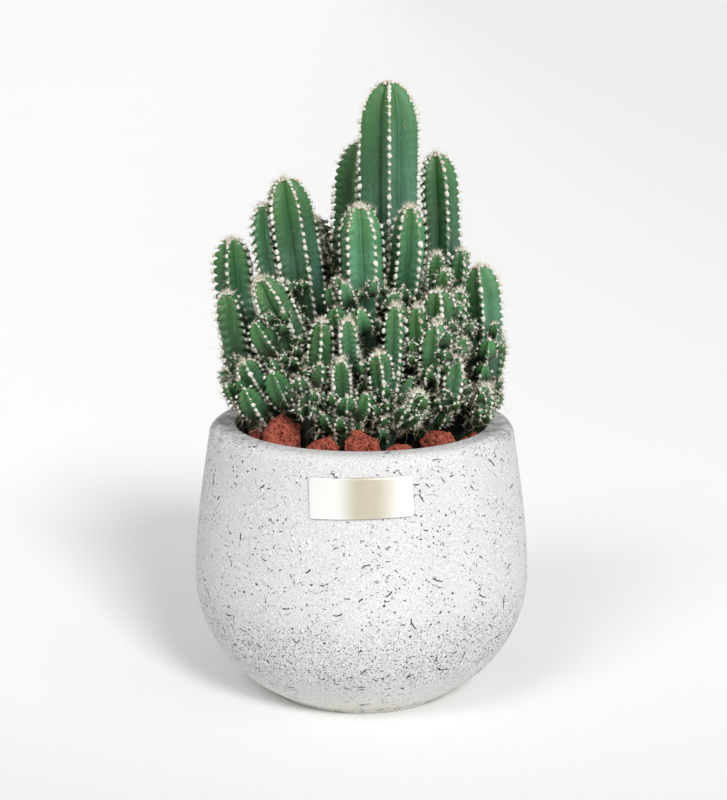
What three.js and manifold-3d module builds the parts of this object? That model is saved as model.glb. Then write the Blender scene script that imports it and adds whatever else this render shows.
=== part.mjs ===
// A fairy castle cereus in a round pot of speckled cement: ribbed green columns that stand in soil,
// each crowded with small shoots, with a ring of red lava stones and a bare metal plate on the pot.
// Millimetres, +Z up. The origin is the centre of the pot's flat base, and the plate faces -Y.

import * as THREE from "three";
import { mergeVertices } from "three/addons/utils/BufferGeometryUtils.js";
import Module from "manifold-3d";

const wasm = await Module();
wasm.setup();

// Pot
const POT_HEIGHT = 139;
const POT_RADIUS = 85;
const WIDEST_HEIGHT = 64;
const BASE_RADIUS = 48;
const BASE_EDGE = 2;
const SHOULDER_RADIUS = 77;
const RIM_ROUNDING = 6;
const RIM_STEPS = 3;
const MOUTH_RADIUS = 63.2;
const MOUTH_ROUNDING = 1.5;
const WALL = 12;
const POT_FLOOR = 12;
const FLOOR_RADIUS = 40;
const POT_SIDES = 32;

// Plate
const PLATE_WIDTH = 49;
const PLATE_HEIGHT = 19;
const PLATE_THICKNESS = 1;
const PLATE_CENTRE_HEIGHT = 120;
const PLATE_TILT = 1.4;
const PLATE_CORNER = 1.2;

// Soil
const SOIL_TOP = 128;
const SOIL_RADIUS = 64.4;

// Running gap between two pieces that touch
const GAP = 0.3;

// Stems: shape of one ribbed stem, as shares of its rib radius
const VALLEY = 0.5;
const OLD_VALLEY = 0.85;
const DOME_SLENDERNESS = 1.75;
const COLUMN_FOOT = 0.62;
const COLUMN_FOOT_LENGTH = 2.2;
const ARM_FOOT = 0.5;
const NECK_START = 0.8;
const LAST_CUSHION = 0.36;

// Stems: sizes along them
const ROOT_DEPTH = 22;
const OLD_WOOD = 60;
const OLD_PITCH = 24;
const COLUMN_PITCH = 12;
const ARM_PITCH = 11;
const SHOOT_PITCH = 8;
const EDGE_SECTIONS = 60;

// Arms: height of the elbow, as a share of the rise to the tip
const ARM_ELBOW = 0.25;

// Cushions on the rib edges, each with a spine, or a plain knob on slender stems
const CUSHION = 0.9;
const CUSHION_LIFT = 0.3;
const SPINE_LENGTH = 3.6;
const SPINE_LEAN = 1.8;
const SPINED_RADIUS = 8;
const KNOB_LIFT = 1.3;
const DIP = 0.88;

// Small shoots that crowd the lower part of each column, on the side that gets the light
const SEED = 41;
const SHOOT_STEP = 6;
const SHOOT_TRIES = 7;
const SHOOT_RADIUS = [3.4, 5.4];
const SHOOT_SLENDERNESS = [2.6, 4.4];
const SHOOT_REACH = [1, 1.9];
const SHOOT_ELBOW = 0.15;
const SHOOT_SPREAD = 1.1;
const SHOOT_RIBS = 4;
const SHOOT_FOOT = 0.45;
const SHADE = 0;
const RIM_CLEARANCE = 3;
const CROWD_RADIUS = 72;
const STEM_CLEARANCE = 1.3;
const NEAR_END = 0.35;

// Lava stones: knocks in and out, and proportions as shares of the greatest width and height
const STONE_RADIUS = [0.76, 1.06];
const STONE_DEPTH = 0.87;
const STONE_HALF_HEIGHT = 0.62;
const STONE_CENTRE = 0.4;
const LARGE_STONE = 17.5;

const COLOURS = {
  cement: 0xd9d9d6,
  gold: 0xe9dfbf,
  peat: 0x2a211b,
  lava: 0x9c4530,
  skin: 0x3f7a4f,
};

// The columns: where each is rooted, the elbow that bends its centre line, its tip, rib radius, number of
// ribs, turn of the first rib in degrees, and height up to which shoots crowd it. An arm grows out at `from`.
const COLUMNS = [
  {
    name: "tall_centre_stem", root: [12, 6], elbow: [14, 8, 210], tip: [13.5, 8, 308],
    radius: 15, ribs: 5, turn: -90, crowd: 198, arms: [
      { from: 184, tip: [23.5, -20, 250], radius: 8.2, ribs: 5, turn: -54 },
    ],
  },
  {
    name: "centre_front_stem", root: [0, -16], elbow: [3, -24, 180], tip: [-1, -24, 251],
    radius: 10.5, ribs: 5, turn: -54, crowd: 204, arms: [
      { from: 164, tip: [-6.5, -46, 199], radius: 4.6, ribs: 4, turn: -45 },
    ],
  },
  {
    name: "left_tall_stem", root: [-17, -2], elbow: [-27, -4, 190], tip: [-38, -6, 262],
    radius: 11.5, ribs: 5, turn: -62, crowd: 198, arms: [
      { from: 184, tip: [-48.5, -2, 248.5], radius: 6.6, ribs: 5, turn: -60 },
    ],
  },
  {
    name: "back_left_stem", root: [-7, 28], elbow: [-3, 31.5, 190], tip: [0, 32.5, 276],
    radius: 12.8, ribs: 5, turn: -25, crowd: 220, arms: [
      { from: 190, tip: [-23, 37, 237], radius: 8, ribs: 5, turn: -70 },
    ],
  },
  {
    name: "back_right_stem", root: [28, 18], elbow: [46, 20, 190], tip: [37.3, 20, 271.5],
    radius: 9.4, ribs: 5, turn: -70, crowd: 210, arms: [
      { from: 190, tip: [50, 14, 224], radius: 4.8, ribs: 4, turn: -70 },
    ],
  },
  {
    name: "inner_left_stem", root: [-20, 15], elbow: [-22, 19, 180], tip: [-24, 20, 226],
    radius: 6.4, ribs: 4, turn: 30, crowd: 200, arms: [],
  },
  {
    name: "middle_left_stem", root: [-28, 21], elbow: [-44, 21, 165], tip: [-46, 18, 206],
    radius: 6.6, ribs: 4, turn: 60, crowd: 182, arms: [],
  },
  {
    name: "inner_right_stem", root: [29, -3], elbow: [37, -6, 180], tip: [36.5, -12, 226],
    radius: 5, ribs: 4, turn: -45, crowd: 200, arms: [],
  },
  {
    name: "left_front_stem", root: [-19, -21], elbow: [-24, -32, 170], tip: [-49, -32, 216.5],
    radius: 8.4, ribs: 5, turn: -62, crowd: 186, arms: [
      { from: 154, tip: [-19, -42, 198], radius: 5, ribs: 4, turn: -90 },
      { from: 148, tip: [-25, -53, 168], radius: 4.4, ribs: 4, turn: -60 },
    ],
  },
  {
    name: "right_front_stem", root: [24, -20], elbow: [40, -32, 170], tip: [37, -30, 210.5],
    radius: 7.2, ribs: 4, turn: -82, crowd: 184, arms: [
      { from: 158, tip: [35.6, -44, 197], radius: 6.8, ribs: 4, turn: -80 },
      { from: 166, tip: [26.5, -38, 204], radius: 5, ribs: 4, turn: -70 },
      { from: 168, tip: [48, -19, 208.5], radius: 5, ribs: 4, turn: -60 },
      { from: 146, tip: [45, -44, 181], radius: 5, ribs: 4, turn: -50 },
    ],
  },
  {
    name: "far_left_stem", root: [-37, 7], elbow: [-64, 8, 168], tip: [-64.6, 8, 230.5],
    radius: 9.4, ribs: 5, turn: -104, crowd: 184, arms: [],
  },
  {
    name: "far_left_front_stem", root: [-37, -9], elbow: [-58, -12, 150], tip: [-66.6, -12, 206.5],
    radius: 7.4, ribs: 4, turn: -50, crowd: 166, arms: [],
  },
  {
    name: "far_right_stem", root: [38, -4], elbow: [70, -8, 160], tip: [57.8, -8, 219.5],
    radius: 8.2, ribs: 4, turn: -98, crowd: 180, arms: [
      { from: 154, tip: [69, -5, 183.5], radius: 4.4, ribs: 4, turn: -45 },
      { from: 142, tip: [60, -27, 163], radius: 4.6, ribs: 4, turn: -40 },
    ],
  },
  {
    name: "low_left_stem", root: [-31, -18], elbow: [-44, -21, 150], tip: [-57, -34, 176.5],
    radius: 5, ribs: 4, turn: -75, crowd: 150, arms: [],
  },
  {
    name: "low_front_stem", root: [-8, -36], elbow: [-8, -38, 150], tip: [-10, -52, 181],
    radius: 5, ribs: 4, turn: -45, crowd: 152, arms: [],
  },
  {
    name: "low_centre_stem", root: [11, -34], elbow: [13, -38, 152], tip: [8, -52, 184],
    radius: 4.8, ribs: 4, turn: -80, crowd: 152, arms: [
      { from: 150, tip: [16, -42, 205.5], radius: 5, ribs: 4, turn: -60 },
      { from: 144, tip: [27, -54, 166], radius: 4.4, ribs: 4, turn: -40 },
    ],
  },
  {
    name: "rear_stem", root: [12, 37], elbow: [16, 44, 170], tip: [21, 49, 232],
    radius: 9.4, ribs: 5, turn: 80, crowd: 194, arms: [
      { from: 160, tip: [5, 60, 196], radius: 6.2, ribs: 4, turn: 60 },
    ],
  },
  {
    name: "rear_left_stem", root: [-24, 32], elbow: [-44, 40, 160], tip: [-47, 42, 213],
    radius: 8.4, ribs: 5, turn: 100, crowd: 182, arms: [
      { from: 154, tip: [-30, 58, 186], radius: 5.4, ribs: 4, turn: 70 },
    ],
  },
  {
    name: "rear_right_stem", root: [27, 37], elbow: [43, 41, 150], tip: [54, 43, 203],
    radius: 7.6, ribs: 4, turn: 40, crowd: 172, arms: [
      { from: 154, tip: [68, 24, 184], radius: 5.2, ribs: 4, turn: 20 },
    ],
  },
];

// The lava stones: centre, greatest width and height. They lie on the soil, between the plant and the pot.
const STONES = [
  [-52, -22, 13, 13], [-38.7, -37.3, 22.9, 22], [-18, -51, 18, 16], [-0.5, -53, 20, 19], [18.5, -52, 19.5, 12.5],
  [37.5, -40, 19, 16], [51, -27.5, 11.5, 9], [56.5, -17, 9.5, 9], [57, 7, 11, 12], [53, 22, 12, 12],
  [25, 52, 14, 14], [3, 55, 15, 13], [-12, 54, 16, 15], [-49.5, 25.5, 14, 13],
];

// A repeatable stream of numbers from 0 to 1.
function seeded(seed) {
  let state = seed;
  return () => {
    state = (state + 0x6d2b79f5) | 0;
    let mixed = Math.imul(state ^ (state >>> 15), 1 | state);
    mixed = (mixed + Math.imul(mixed ^ (mixed >>> 7), 61 | mixed)) ^ mixed;
    return ((mixed ^ (mixed >>> 14)) >>> 0) / 2 ** 32;
  };
}

function between([low, high], share) {
  return low + (high - low) * share;
}

// A three.js geometry as a solid, with its doubled vertices merged and its collapsed faces dropped.
function toSolid(geometry) {
  const plain = new THREE.BufferGeometry();
  plain.setAttribute("position", geometry.getAttribute("position").clone());
  if (geometry.index) plain.setIndex(geometry.index.clone());
  const merged = mergeVertices(plain, 1e-4);
  const corners = merged.index.array;
  const faces = [];
  for (let i = 0; i < corners.length; i += 3) {
    const [a, b, c] = corners.slice(i, i + 3);
    if (a !== b && b !== c && c !== a) faces.push(a, b, c);
  }
  const vertProperties = new Float32Array(merged.getAttribute("position").array);
  const triVerts = new Uint32Array(faces);
  return new wasm.Manifold(new wasm.Mesh({ numProp: 3, vertProperties, triVerts }));
}

// The largest body of a solid, as a named mesh. Scraps left by a cut are dropped.
function toMesh(name, solid, color, roughness, metalness = 0) {
  const largest = solid.decompose().sort((a, b) => b.volume() - a.volume())[0];
  const { vertProperties, triVerts } = largest.getMesh();
  const geometry = new THREE.BufferGeometry();
  geometry.setAttribute("position", new THREE.BufferAttribute(new Float32Array(vertProperties), 3));
  geometry.setIndex(new THREE.BufferAttribute(new Uint32Array(triVerts), 1));
  geometry.computeVertexNormals();
  const mesh = new THREE.Mesh(geometry, new THREE.MeshStandardMaterial({ color, roughness, metalness }));
  mesh.name = name;
  return mesh;
}

// Turns an outline of [radius, height] points, which starts and ends on the Z axis, round that axis.
function turned(outline) {
  const points = outline.map(([r, z]) => new THREE.Vector2(r, z));
  return toSolid(new THREE.LatheGeometry(points, POT_SIDES).rotateX(Math.PI / 2));
}

function bezier(points, steps) {
  const curve = new THREE.CubicBezierCurve(...points.map(([r, z]) => new THREE.Vector2(r, z)));
  return curve.getPoints(steps).map((p) => [p.x, p.y]);
}

// The pot's outer wall from its base edge to its rounded rim, grown outwards by `out`.
function outerWall(out = 0) {
  const widest = [POT_RADIUS, WIDEST_HEIGHT];
  const shoulder = [SHOULDER_RADIUS, POT_HEIGHT - RIM_ROUNDING];
  const belly = bezier([[BASE_RADIUS, BASE_EDGE], [67, 11], [86, 33], widest], 5);
  const neck = bezier([widest, [84.5, 86], [80.5, 110], shoulder], 3).slice(1);
  const rim = Array.from({ length: RIM_STEPS }, (_, step) => {
    const angle = (Math.PI / 2) * ((step + 1) / RIM_STEPS);
    return [
      shoulder[0] - RIM_ROUNDING * (1 - Math.cos(angle)),
      shoulder[1] + RIM_ROUNDING * Math.sin(angle),
    ];
  });
  return [...belly, ...neck, ...rim].map(([r, z]) => [r + out, z]);
}

// The pot's inner wall from just under its mouth down to its floor, drawn inwards by `inset`.
function innerWall(inset = 0) {
  const widest = [POT_RADIUS - WALL, WIDEST_HEIGHT];
  const neck = bezier([[MOUTH_RADIUS, POT_HEIGHT - MOUTH_ROUNDING], [70, 112], [73, 90], widest], 2);
  const bowl = bezier([widest, [73, 40], [60, 18], [FLOOR_RADIUS, POT_FLOOR]], 2).slice(1);
  return [...neck, ...bowl].map(([r, z]) => [r - inset, z]);
}

function makePot() {
  const foot = [[0, 0], [BASE_RADIUS - BASE_EDGE, 0]];
  const mouth = [MOUTH_RADIUS + MOUTH_ROUNDING, POT_HEIGHT];
  return turned([...foot, ...outerWall(), mouth, ...innerWall(), [0, POT_FLOOR]]);
}

// The plate: a rectangle with rounded corners, cut out of a thin shell that follows the pot's wall.
function makePlate() {
  const [w, h, r] = [PLATE_WIDTH / 2, PLATE_HEIGHT / 2, PLATE_CORNER];
  const outline = new THREE.Shape();
  outline.moveTo(-w + r, -h);
  outline.lineTo(w - r, -h);
  outline.quadraticCurveTo(w, -h, w, -h + r);
  outline.lineTo(w, h - r);
  outline.quadraticCurveTo(w, h, w - r, h);
  outline.lineTo(-w + r, h);
  outline.quadraticCurveTo(-w, h, -w, h - r);
  outline.lineTo(-w, -h + r);
  outline.quadraticCurveTo(-w, -h, -w + r, -h);
  const punch = { depth: 2 * POT_RADIUS, bevelEnabled: false, curveSegments: 2 };
  const stamp = new THREE.ExtrudeGeometry(outline, punch);
  stamp.rotateZ(THREE.MathUtils.degToRad(PLATE_TILT)).rotateX(Math.PI / 2);
  stamp.translate(0, 0, PLATE_CENTRE_HEIGHT);
  const filled = (out) => turned([[0, 0], ...outerWall(out), [0, POT_HEIGHT]]);
  return filled(GAP + PLATE_THICKNESS).subtract(filled(GAP)).intersect(toSolid(stamp));
}

// Soil: fills the pot to just under its mouth.
function makeSoil() {
  const wall = innerWall(GAP).filter(([, z]) => z < SOIL_TOP).reverse().map(([r, z]) => [r, z + GAP]);
  return turned([[0, POT_FLOOR + GAP], ...wall, [SOIL_RADIUS, SOIL_TOP], [0, SOIL_TOP]]);
}

// A lava stone: a ball knocked in and out at random, with a flat underside on the soil.
function makeStone([x, y, width, height], index) {
  const random = seeded(SEED * 7 + index);
  const large = width > LARGE_STONE;
  const geometry = large ? new THREE.IcosahedronGeometry(1, 1) : new THREE.DodecahedronGeometry(1.06);
  const position = geometry.getAttribute("position");
  const knocks = new Map();
  for (let i = 0; i < position.count; i++) {
    const point = new THREE.Vector3().fromBufferAttribute(position, i);
    const corner = point.toArray().map((v) => v.toFixed(3)).join();
    if (!knocks.has(corner)) knocks.set(corner, between(STONE_RADIUS, random()));
    point.multiplyScalar(knocks.get(corner));
    position.setXYZ(i, ...point.toArray());
  }
  const bottom = SOIL_TOP + GAP;
  geometry.rotateZ(random() * Math.PI * 2);
  geometry.scale(width / 2, (width / 2) * STONE_DEPTH, height * STONE_HALF_HEIGHT);
  geometry.translate(x, y, bottom + height * STONE_CENTRE);
  const ground = new THREE.BoxGeometry(4 * width, 4 * width, 2 * height).translate(x, y, bottom - height);
  return toSolid(geometry).subtract(toSolid(ground));
}

// One ribbed stem. Its centre line leaves the root, leans out towards the elbow and ends at the tip. `reach`
// is a distance from the root along a rib's edge, `along` the distance on the centre line that belongs to it.
class Stem {
  constructor(root, elbow, tip, shape) {
    this.curve = new THREE.QuadraticBezierCurve3(root, elbow, tip);
    this.length = this.curve.getLength();
    Object.assign(this, shape);
    this.edge = [0];
    for (let i = 1; i <= EDGE_SECTIONS; i++) {
      const [a, b] = [i - 1, i].map((n) => (n / EDGE_SECTIONS) * this.length);
      this.edge.push(this.edge[i - 1] + Math.hypot(b - a, this.ribRadius(b) - this.ribRadius(a)));
    }
  }

  // Radius over the ribs: a narrow foot or neck, a straight body and a domed tip.
  ribRadius(along) {
    const neck = THREE.MathUtils.smoothstep(along, ...this.neck);
    const dome = THREE.MathUtils.clamp((this.length - along) / (this.radius * DOME_SLENDERNESS), 0, 1);
    return this.radius * between([this.foot, 1], neck) * Math.sqrt(1 - (1 - dome) ** 2);
  }

  // Radius at the bottom of the valleys, which fill up where a column is old.
  valleyRadius(along) {
    const young = this.oldWood ? THREE.MathUtils.smoothstep(along, ROOT_DEPTH, this.oldWood) : 1;
    return this.ribRadius(along) * between([OLD_VALLEY, VALLEY], young);
  }

  // Centre, tangent and two side directions.
  frame(along) {
    const share = THREE.MathUtils.clamp(along / this.length, 0, 1);
    const tangent = this.curve.getTangent(share);
    const side = new THREE.Vector3(1, 0, 0).addScaledVector(tangent, -tangent.x).normalize();
    const back = new THREE.Vector3().crossVectors(tangent, side);
    return { centre: this.curve.getPoint(share), tangent, side, back };
  }

  along(reach) {
    const i = Math.max(1, this.edge.findIndex((r) => r >= reach));
    const share = (reach - this.edge[i - 1]) / (this.edge[i] - this.edge[i - 1]);
    return ((i - 1 + share) / EDGE_SECTIONS) * this.length;
  }

  // Where the cushions sit: evenly along the rib's edge, from the top of the crowd to just short of the tip.
  cushions() {
    const end = this.edge[EDGE_SECTIONS] - this.radius * LAST_CUSHION;
    const count = Math.max(2, Math.round((end - this.bare) / this.pitch) + 1);
    return Array.from({ length: count }, (_, n) => between([this.bare, end], n / (count - 1)));
  }

  // Balls strung about a radius apart, from a share of the length to the tip, for the room that it takes.
  balls(first) {
    const count = Math.ceil(this.length / this.radius);
    const places = Array.from({ length: count + 1 }, (_, n) => n / count).filter((place) => place >= first);
    return places.map((place) =>
      new THREE.Sphere(this.curve.getPoint(place), this.ribRadius(place * this.length)));
  }
}

// The faces of one ribbed stem. Vertices are laid in chains that run from root to tip, along each rib's edge
// and each valley. `grow` makes the stem fatter all round, for the space that it needs.
class StemShell {
  constructor(stem, grow) {
    Object.assign(this, { stem, grow, vertices: [], faces: [] });
  }

  // A vertex `out` from the centre line at an angle. `lift` moves it square to the slope of the rib's edge,
  // and `aside` across the rib.
  vertex(along, angle, out, lift = 0, aside = 0) {
    const { stem } = this;
    const { centre, tangent, side, back } = stem.frame(along);
    const radial = side.multiplyScalar(Math.cos(angle)).addScaledVector(back, Math.sin(angle));
    const across = new THREE.Vector3().crossVectors(tangent, radial);
    const step = stem.radius * 0.05;
    const [below, above] = [Math.max(along - step, 0), Math.min(along + step, stem.length)];
    const slope = Math.atan2(stem.ribRadius(below) - stem.ribRadius(above), above - below);
    const sunk = along > 0 ? 0 : this.grow;
    centre.addScaledVector(radial, out + lift * Math.cos(slope));
    centre.addScaledVector(tangent, lift * Math.sin(slope) - sunk).addScaledVector(across, aside);
    this.vertices.push(...centre.toArray());
    return { index: this.vertices.length / 3 - 1, along };
  }

  face(...corners) {
    this.faces.push(...corners.map((corner) => corner.index));
  }

  // Fills the strip between two neighbouring chains.
  strip(left, right) {
    let i = 0;
    let j = 0;
    while (i < left.length - 1 || j < right.length - 1) {
      const [nextLeft, nextRight] = [left[i + 1], right[j + 1]];
      const goLeft = !nextRight || (nextLeft && nextLeft.along <= nextRight.along);
      const next = goLeft ? nextLeft : nextRight;
      if (new Set([left[i], right[j], next]).size === 3) this.face(left[i], right[j], next);
      if (goLeft) i++;
      else j++;
    }
  }

  // A cushion with a spine: three vertices on the rib's edge and the spine's point.
  spine(reach, angle, lean) {
    const { stem, grow } = this;
    const [low, high] = [reach - CUSHION, reach + CUSHION / 2].map((shifted) => stem.along(shifted));
    const along = Math.min(stem.along(reach) + lean[0], stem.length);
    const foot = this.vertex(low, angle, stem.ribRadius(low), CUSHION_LIFT + grow);
    const left = this.vertex(high, angle, stem.ribRadius(high), grow, -CUSHION - grow);
    const right = this.vertex(high, angle, stem.ribRadius(high), grow, CUSHION + grow);
    const point = this.vertex(along, angle, stem.ribRadius(stem.along(reach)), SPINE_LENGTH + grow, lean[1]);
    this.face(foot, right, point);
    this.face(right, left, point);
    this.face(left, foot, point);
    return { foot, left, right };
  }

  // Both sides of one rib's edge, with a spined cushion or a plain knob at each place.
  edge(angle, root, tip, cushions, random) {
    const { stem, grow } = this;
    const old = stem.oldRows.map((reach) => {
      const along = stem.along(reach);
      return this.vertex(along, angle, stem.ribRadius(along) + grow);
    });
    const left = old.length ? [...old] : [root];
    const right = [...left];
    let last;
    cushions.forEach((reach, row) => {
      if (stem.spined) {
        const lean = [random(), random()].map((share) => between([-SPINE_LEAN, SPINE_LEAN], share));
        const cushion = this.spine(reach, angle, lean);
        if (last) this.face(last.left, last.right, cushion.foot);
        left.push(cushion.foot, cushion.left);
        right.push(cushion.foot, cushion.right);
        last = cushion;
        return;
      }
      const along = stem.along(reach);
      const chain = [this.vertex(along, angle, stem.ribRadius(along), KNOB_LIFT + grow)];
      if (row < cushions.length - 1) {
        const middle = stem.along((reach + cushions[row + 1]) / 2);
        chain.push(this.vertex(middle, angle, stem.ribRadius(middle) * DIP, grow));
      }
      left.push(...chain);
      right.push(...chain);
    });
    if (last) this.face(last.left, last.right, tip);
    return { left: [...left, tip], right: [...right, tip] };
  }

  valley(angle, tip, cushions) {
    const { stem, grow } = this;
    const places = cushions.filter((_, row) => row % stem.troughEvery === 0);
    const chain = [...stem.oldRows.slice(1), ...places].map((reach) => {
      const along = stem.along(reach);
      return this.vertex(along, angle, stem.valleyRadius(along) + grow);
    });
    return [...chain, tip];
  }

  build() {
    const { stem, grow } = this;
    const random = seeded(Math.round(stem.length * 10 + stem.radius * 100));
    const cushions = stem.cushions();
    const root = this.vertex(0, 0, 0);
    const tip = this.vertex(stem.length, 0, 0, grow);
    const ribs = Array.from({ length: stem.ribs }, (_, rib) => {
      const angle = THREE.MathUtils.degToRad(stem.turn) + (rib / stem.ribs) * Math.PI * 2;
      const valley = this.valley(angle + Math.PI / stem.ribs, tip, cushions);
      return { valley, ...this.edge(angle, root, tip, cushions, random) };
    });
    ribs.forEach(({ left, right, valley }, rib) => {
      const next = ribs[(rib + 1) % stem.ribs];
      this.strip(right, valley);
      this.strip(valley, next.left);
      if (left[0] === root) return;
      this.face(left[0], next.left[0], valley[0]);
      this.face(root, next.left[0], left[0]);
    });
    const geometry = new THREE.BufferGeometry();
    geometry.setAttribute("position", new THREE.BufferAttribute(new Float32Array(this.vertices), 3));
    return toSolid(geometry.setIndex(this.faces));
  }
}

function ribbedStem(stem, grow = 0) {
  return new StemShell(stem, grow).build();
}

function fuse(stems, grow) {
  return stems.map((stem) => ribbedStem(stem, grow)).reduce((all, one) => all.add(one));
}

// A column's own stem, rooted below the soil. Its lower part, behind the shoots, is old and plain.
function columnStem({ root, elbow, tip, radius, ribs, turn, crowd }) {
  const bottom = SOIL_TOP - ROOT_DEPTH;
  const bare = crowd - bottom;
  const oldRows = [0];
  for (let reach = ROOT_DEPTH + 2; reach < bare - OLD_PITCH / 2; reach += OLD_PITCH) oldRows.push(reach);
  const foot = new THREE.Vector3(...root, bottom);
  return new Stem(foot, new THREE.Vector3(...elbow), new THREE.Vector3(...tip), {
    radius, ribs, turn, bare, oldRows, foot: COLUMN_FOOT, neck: [0, radius * COLUMN_FOOT_LENGTH],
    oldWood: OLD_WOOD, pitch: COLUMN_PITCH, troughEvery: 2, spined: true,
  });
}

// How far along a column's centre line it is to a height, taking its height as an even rise.
function lengthTo(stem, height) {
  const { v0, v2 } = stem.curve;
  return (stem.length * (height - v0.z)) / (v2.z - v0.z);
}

// An arm: leaves its column's centre line sideways and turns upright.
function armStem(column, { from, tip, radius, ribs, turn }) {
  const root = column.frame(lengthTo(column, from)).centre;
  const elbow = new THREE.Vector3(tip[0], tip[1], between([from, tip[2]], ARM_ELBOW));
  return new Stem(root, elbow, new THREE.Vector3(...tip), {
    radius, ribs, turn, bare: column.radius + radius, oldRows: [], foot: ARM_FOOT,
    neck: [column.radius * NECK_START, column.radius + radius], pitch: ARM_PITCH, troughEvery: 2,
    spined: radius > SPINED_RADIUS,
  });
}

// One shoot, drawn at random: it leaves its column's centre line at a height, and turns up beside it.
function drawShoot(column, height, random) {
  const [swing, size, slenderness, far, spin, jump] = Array.from({ length: 6 }, random);
  const angle = swing * Math.PI * 2;
  const radius = between(SHOOT_RADIUS, size);
  const reach = column.radius + radius * between(SHOOT_REACH, far);
  const rise = radius * between(SHOOT_SLENDERNESS, slenderness);
  const { centre: root, tangent } = column.frame(lengthTo(column, height + (jump - 0.5) * SHOOT_STEP));
  const out = new THREE.Vector3(Math.cos(angle), Math.sin(angle), 0);
  const elbow = root.clone().addScaledVector(out, reach).addScaledVector(tangent, rise * SHOOT_ELBOW);
  const tip = root.clone().addScaledVector(out, reach * SHOOT_SPREAD).addScaledVector(tangent, rise);
  const light = out.dot(new THREE.Vector3(root.x, root.y, 0).normalize());
  const stem = new Stem(root, elbow, tip, {
    radius, ribs: SHOOT_RIBS, turn: spin * 90, bare: reach, oldRows: [], foot: SHOOT_FOOT,
    neck: [column.radius * NECK_START, reach], pitch: SHOOT_PITCH, troughEvery: Infinity, spined: false,
  });
  return { stem, light };
}

// True if a shoot stays inside the pot's mouth, or over its rim and near the crowd, and out of the balls given.
function hasRoom(shoot, taken) {
  return shoot.balls(NEAR_END).every((ball) => {
    const lowest = ball.center.z - ball.radius;
    const reach = Math.hypot(ball.center.x, ball.center.y) + ball.radius;
    const overRim = lowest > POT_HEIGHT + RIM_CLEARANCE && reach < CROWD_RADIUS;
    const inMouth = lowest > SOIL_TOP + 1 && reach < MOUTH_RADIUS - RIM_CLEARANCE;
    return (overRim || inMouth) && !taken.some((other) => other.intersectsSphere(ball));
  });
}

// Shoots by rule: tries all round and up the crowded part of a column, kept where there is light and room.
function shootsOf(column, crowd, random, taken) {
  const shoots = [];
  for (let height = SOIL_TOP + 4; height < crowd; height += SHOOT_STEP) {
    for (let attempt = 0; attempt < SHOOT_TRIES; attempt++) {
      const { stem, light } = drawShoot(column, height, random);
      const sisters = shoots.flatMap((sister) => sister.balls(NEAR_END));
      if (light > SHADE && hasRoom(stem, [...taken, ...sisters])) shoots.push(stem);
    }
  }
  return shoots;
}

// The room that the lava stones take, with the clearance that a shoot keeps.
function stoneRoom() {
  return STONES.map(([x, y, width, height]) => {
    const centre = new THREE.Vector3(x, y, SOIL_TOP + height * STONE_CENTRE);
    return new THREE.Sphere(centre, (width / 2) * STONE_RADIUS[1] + STEM_CLEARANCE);
  });
}

// Each column with its arms and shoots. No shoot runs into another column, its arms and shoots, or a stone.
function growPlants() {
  const plants = COLUMNS.map((column) => {
    const stem = columnStem(column);
    return { column, stems: [stem, ...column.arms.map((arm) => armStem(stem, arm))] };
  });
  plants.forEach((plant, number) => {
    const [stem, ...arms] = plant.stems;
    const others = plants.filter((other) => other !== plant).flatMap((other) => other.stems);
    const taken = [...stoneRoom(), ...arms.flatMap((arm) => arm.balls(NEAR_END))];
    others.flatMap((other) => other.balls(0)).forEach((ball) => {
      taken.push(new THREE.Sphere(ball.center, ball.radius + STEM_CLEARANCE));
    });
    plant.stems.push(...shootsOf(stem, plant.column.crowd, seeded(SEED + number), taken));
  });
  return plants;
}

// The columns as solids. What would still touch an earlier column is cut back to leave a gap.
function growColumns(plants) {
  const rooms = plants.map(({ stems }) => fuse(stems, 2 * GAP));
  return plants.map(({ column, stems }, number) => {
    const crossed = rooms.slice(0, number);
    const solid = crossed.reduce(
      (rest, room) => (rest.intersect(room).isEmpty() ? rest : rest.subtract(room)), fuse(stems, 0));
    return toMesh(column.name, solid, COLOURS.skin, 0.5);
  });
}

const plants = growPlants();
const holes = plants.map(({ stems }) => ribbedStem(stems[0], GAP));
const soil = holes.reduce((rest, hole) => rest.subtract(hole), makeSoil());

const part = new THREE.Group();
part.add(toMesh("pot", makePot(), COLOURS.cement, 0.85));
part.add(toMesh("plate", makePlate(), COLOURS.gold, 0.3, 0.9));
part.add(toMesh("soil", soil, COLOURS.peat, 1));
STONES.forEach((stone, number) => {
  part.add(toMesh(`lava_stone_${number + 1}`, makeStone(stone, number), COLOURS.lava, 0.95));
});
part.add(...growColumns(plants));

export default part;
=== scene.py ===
"""A fairy castle cereus in a round pot of speckled cement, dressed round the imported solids.

Sizes are in millimetres where a piece is worked out, and metres in the meshes, with +Z up.
The origin is the centre of the pot's flat base, and the plate faces -Y.
"""
import math

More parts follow.
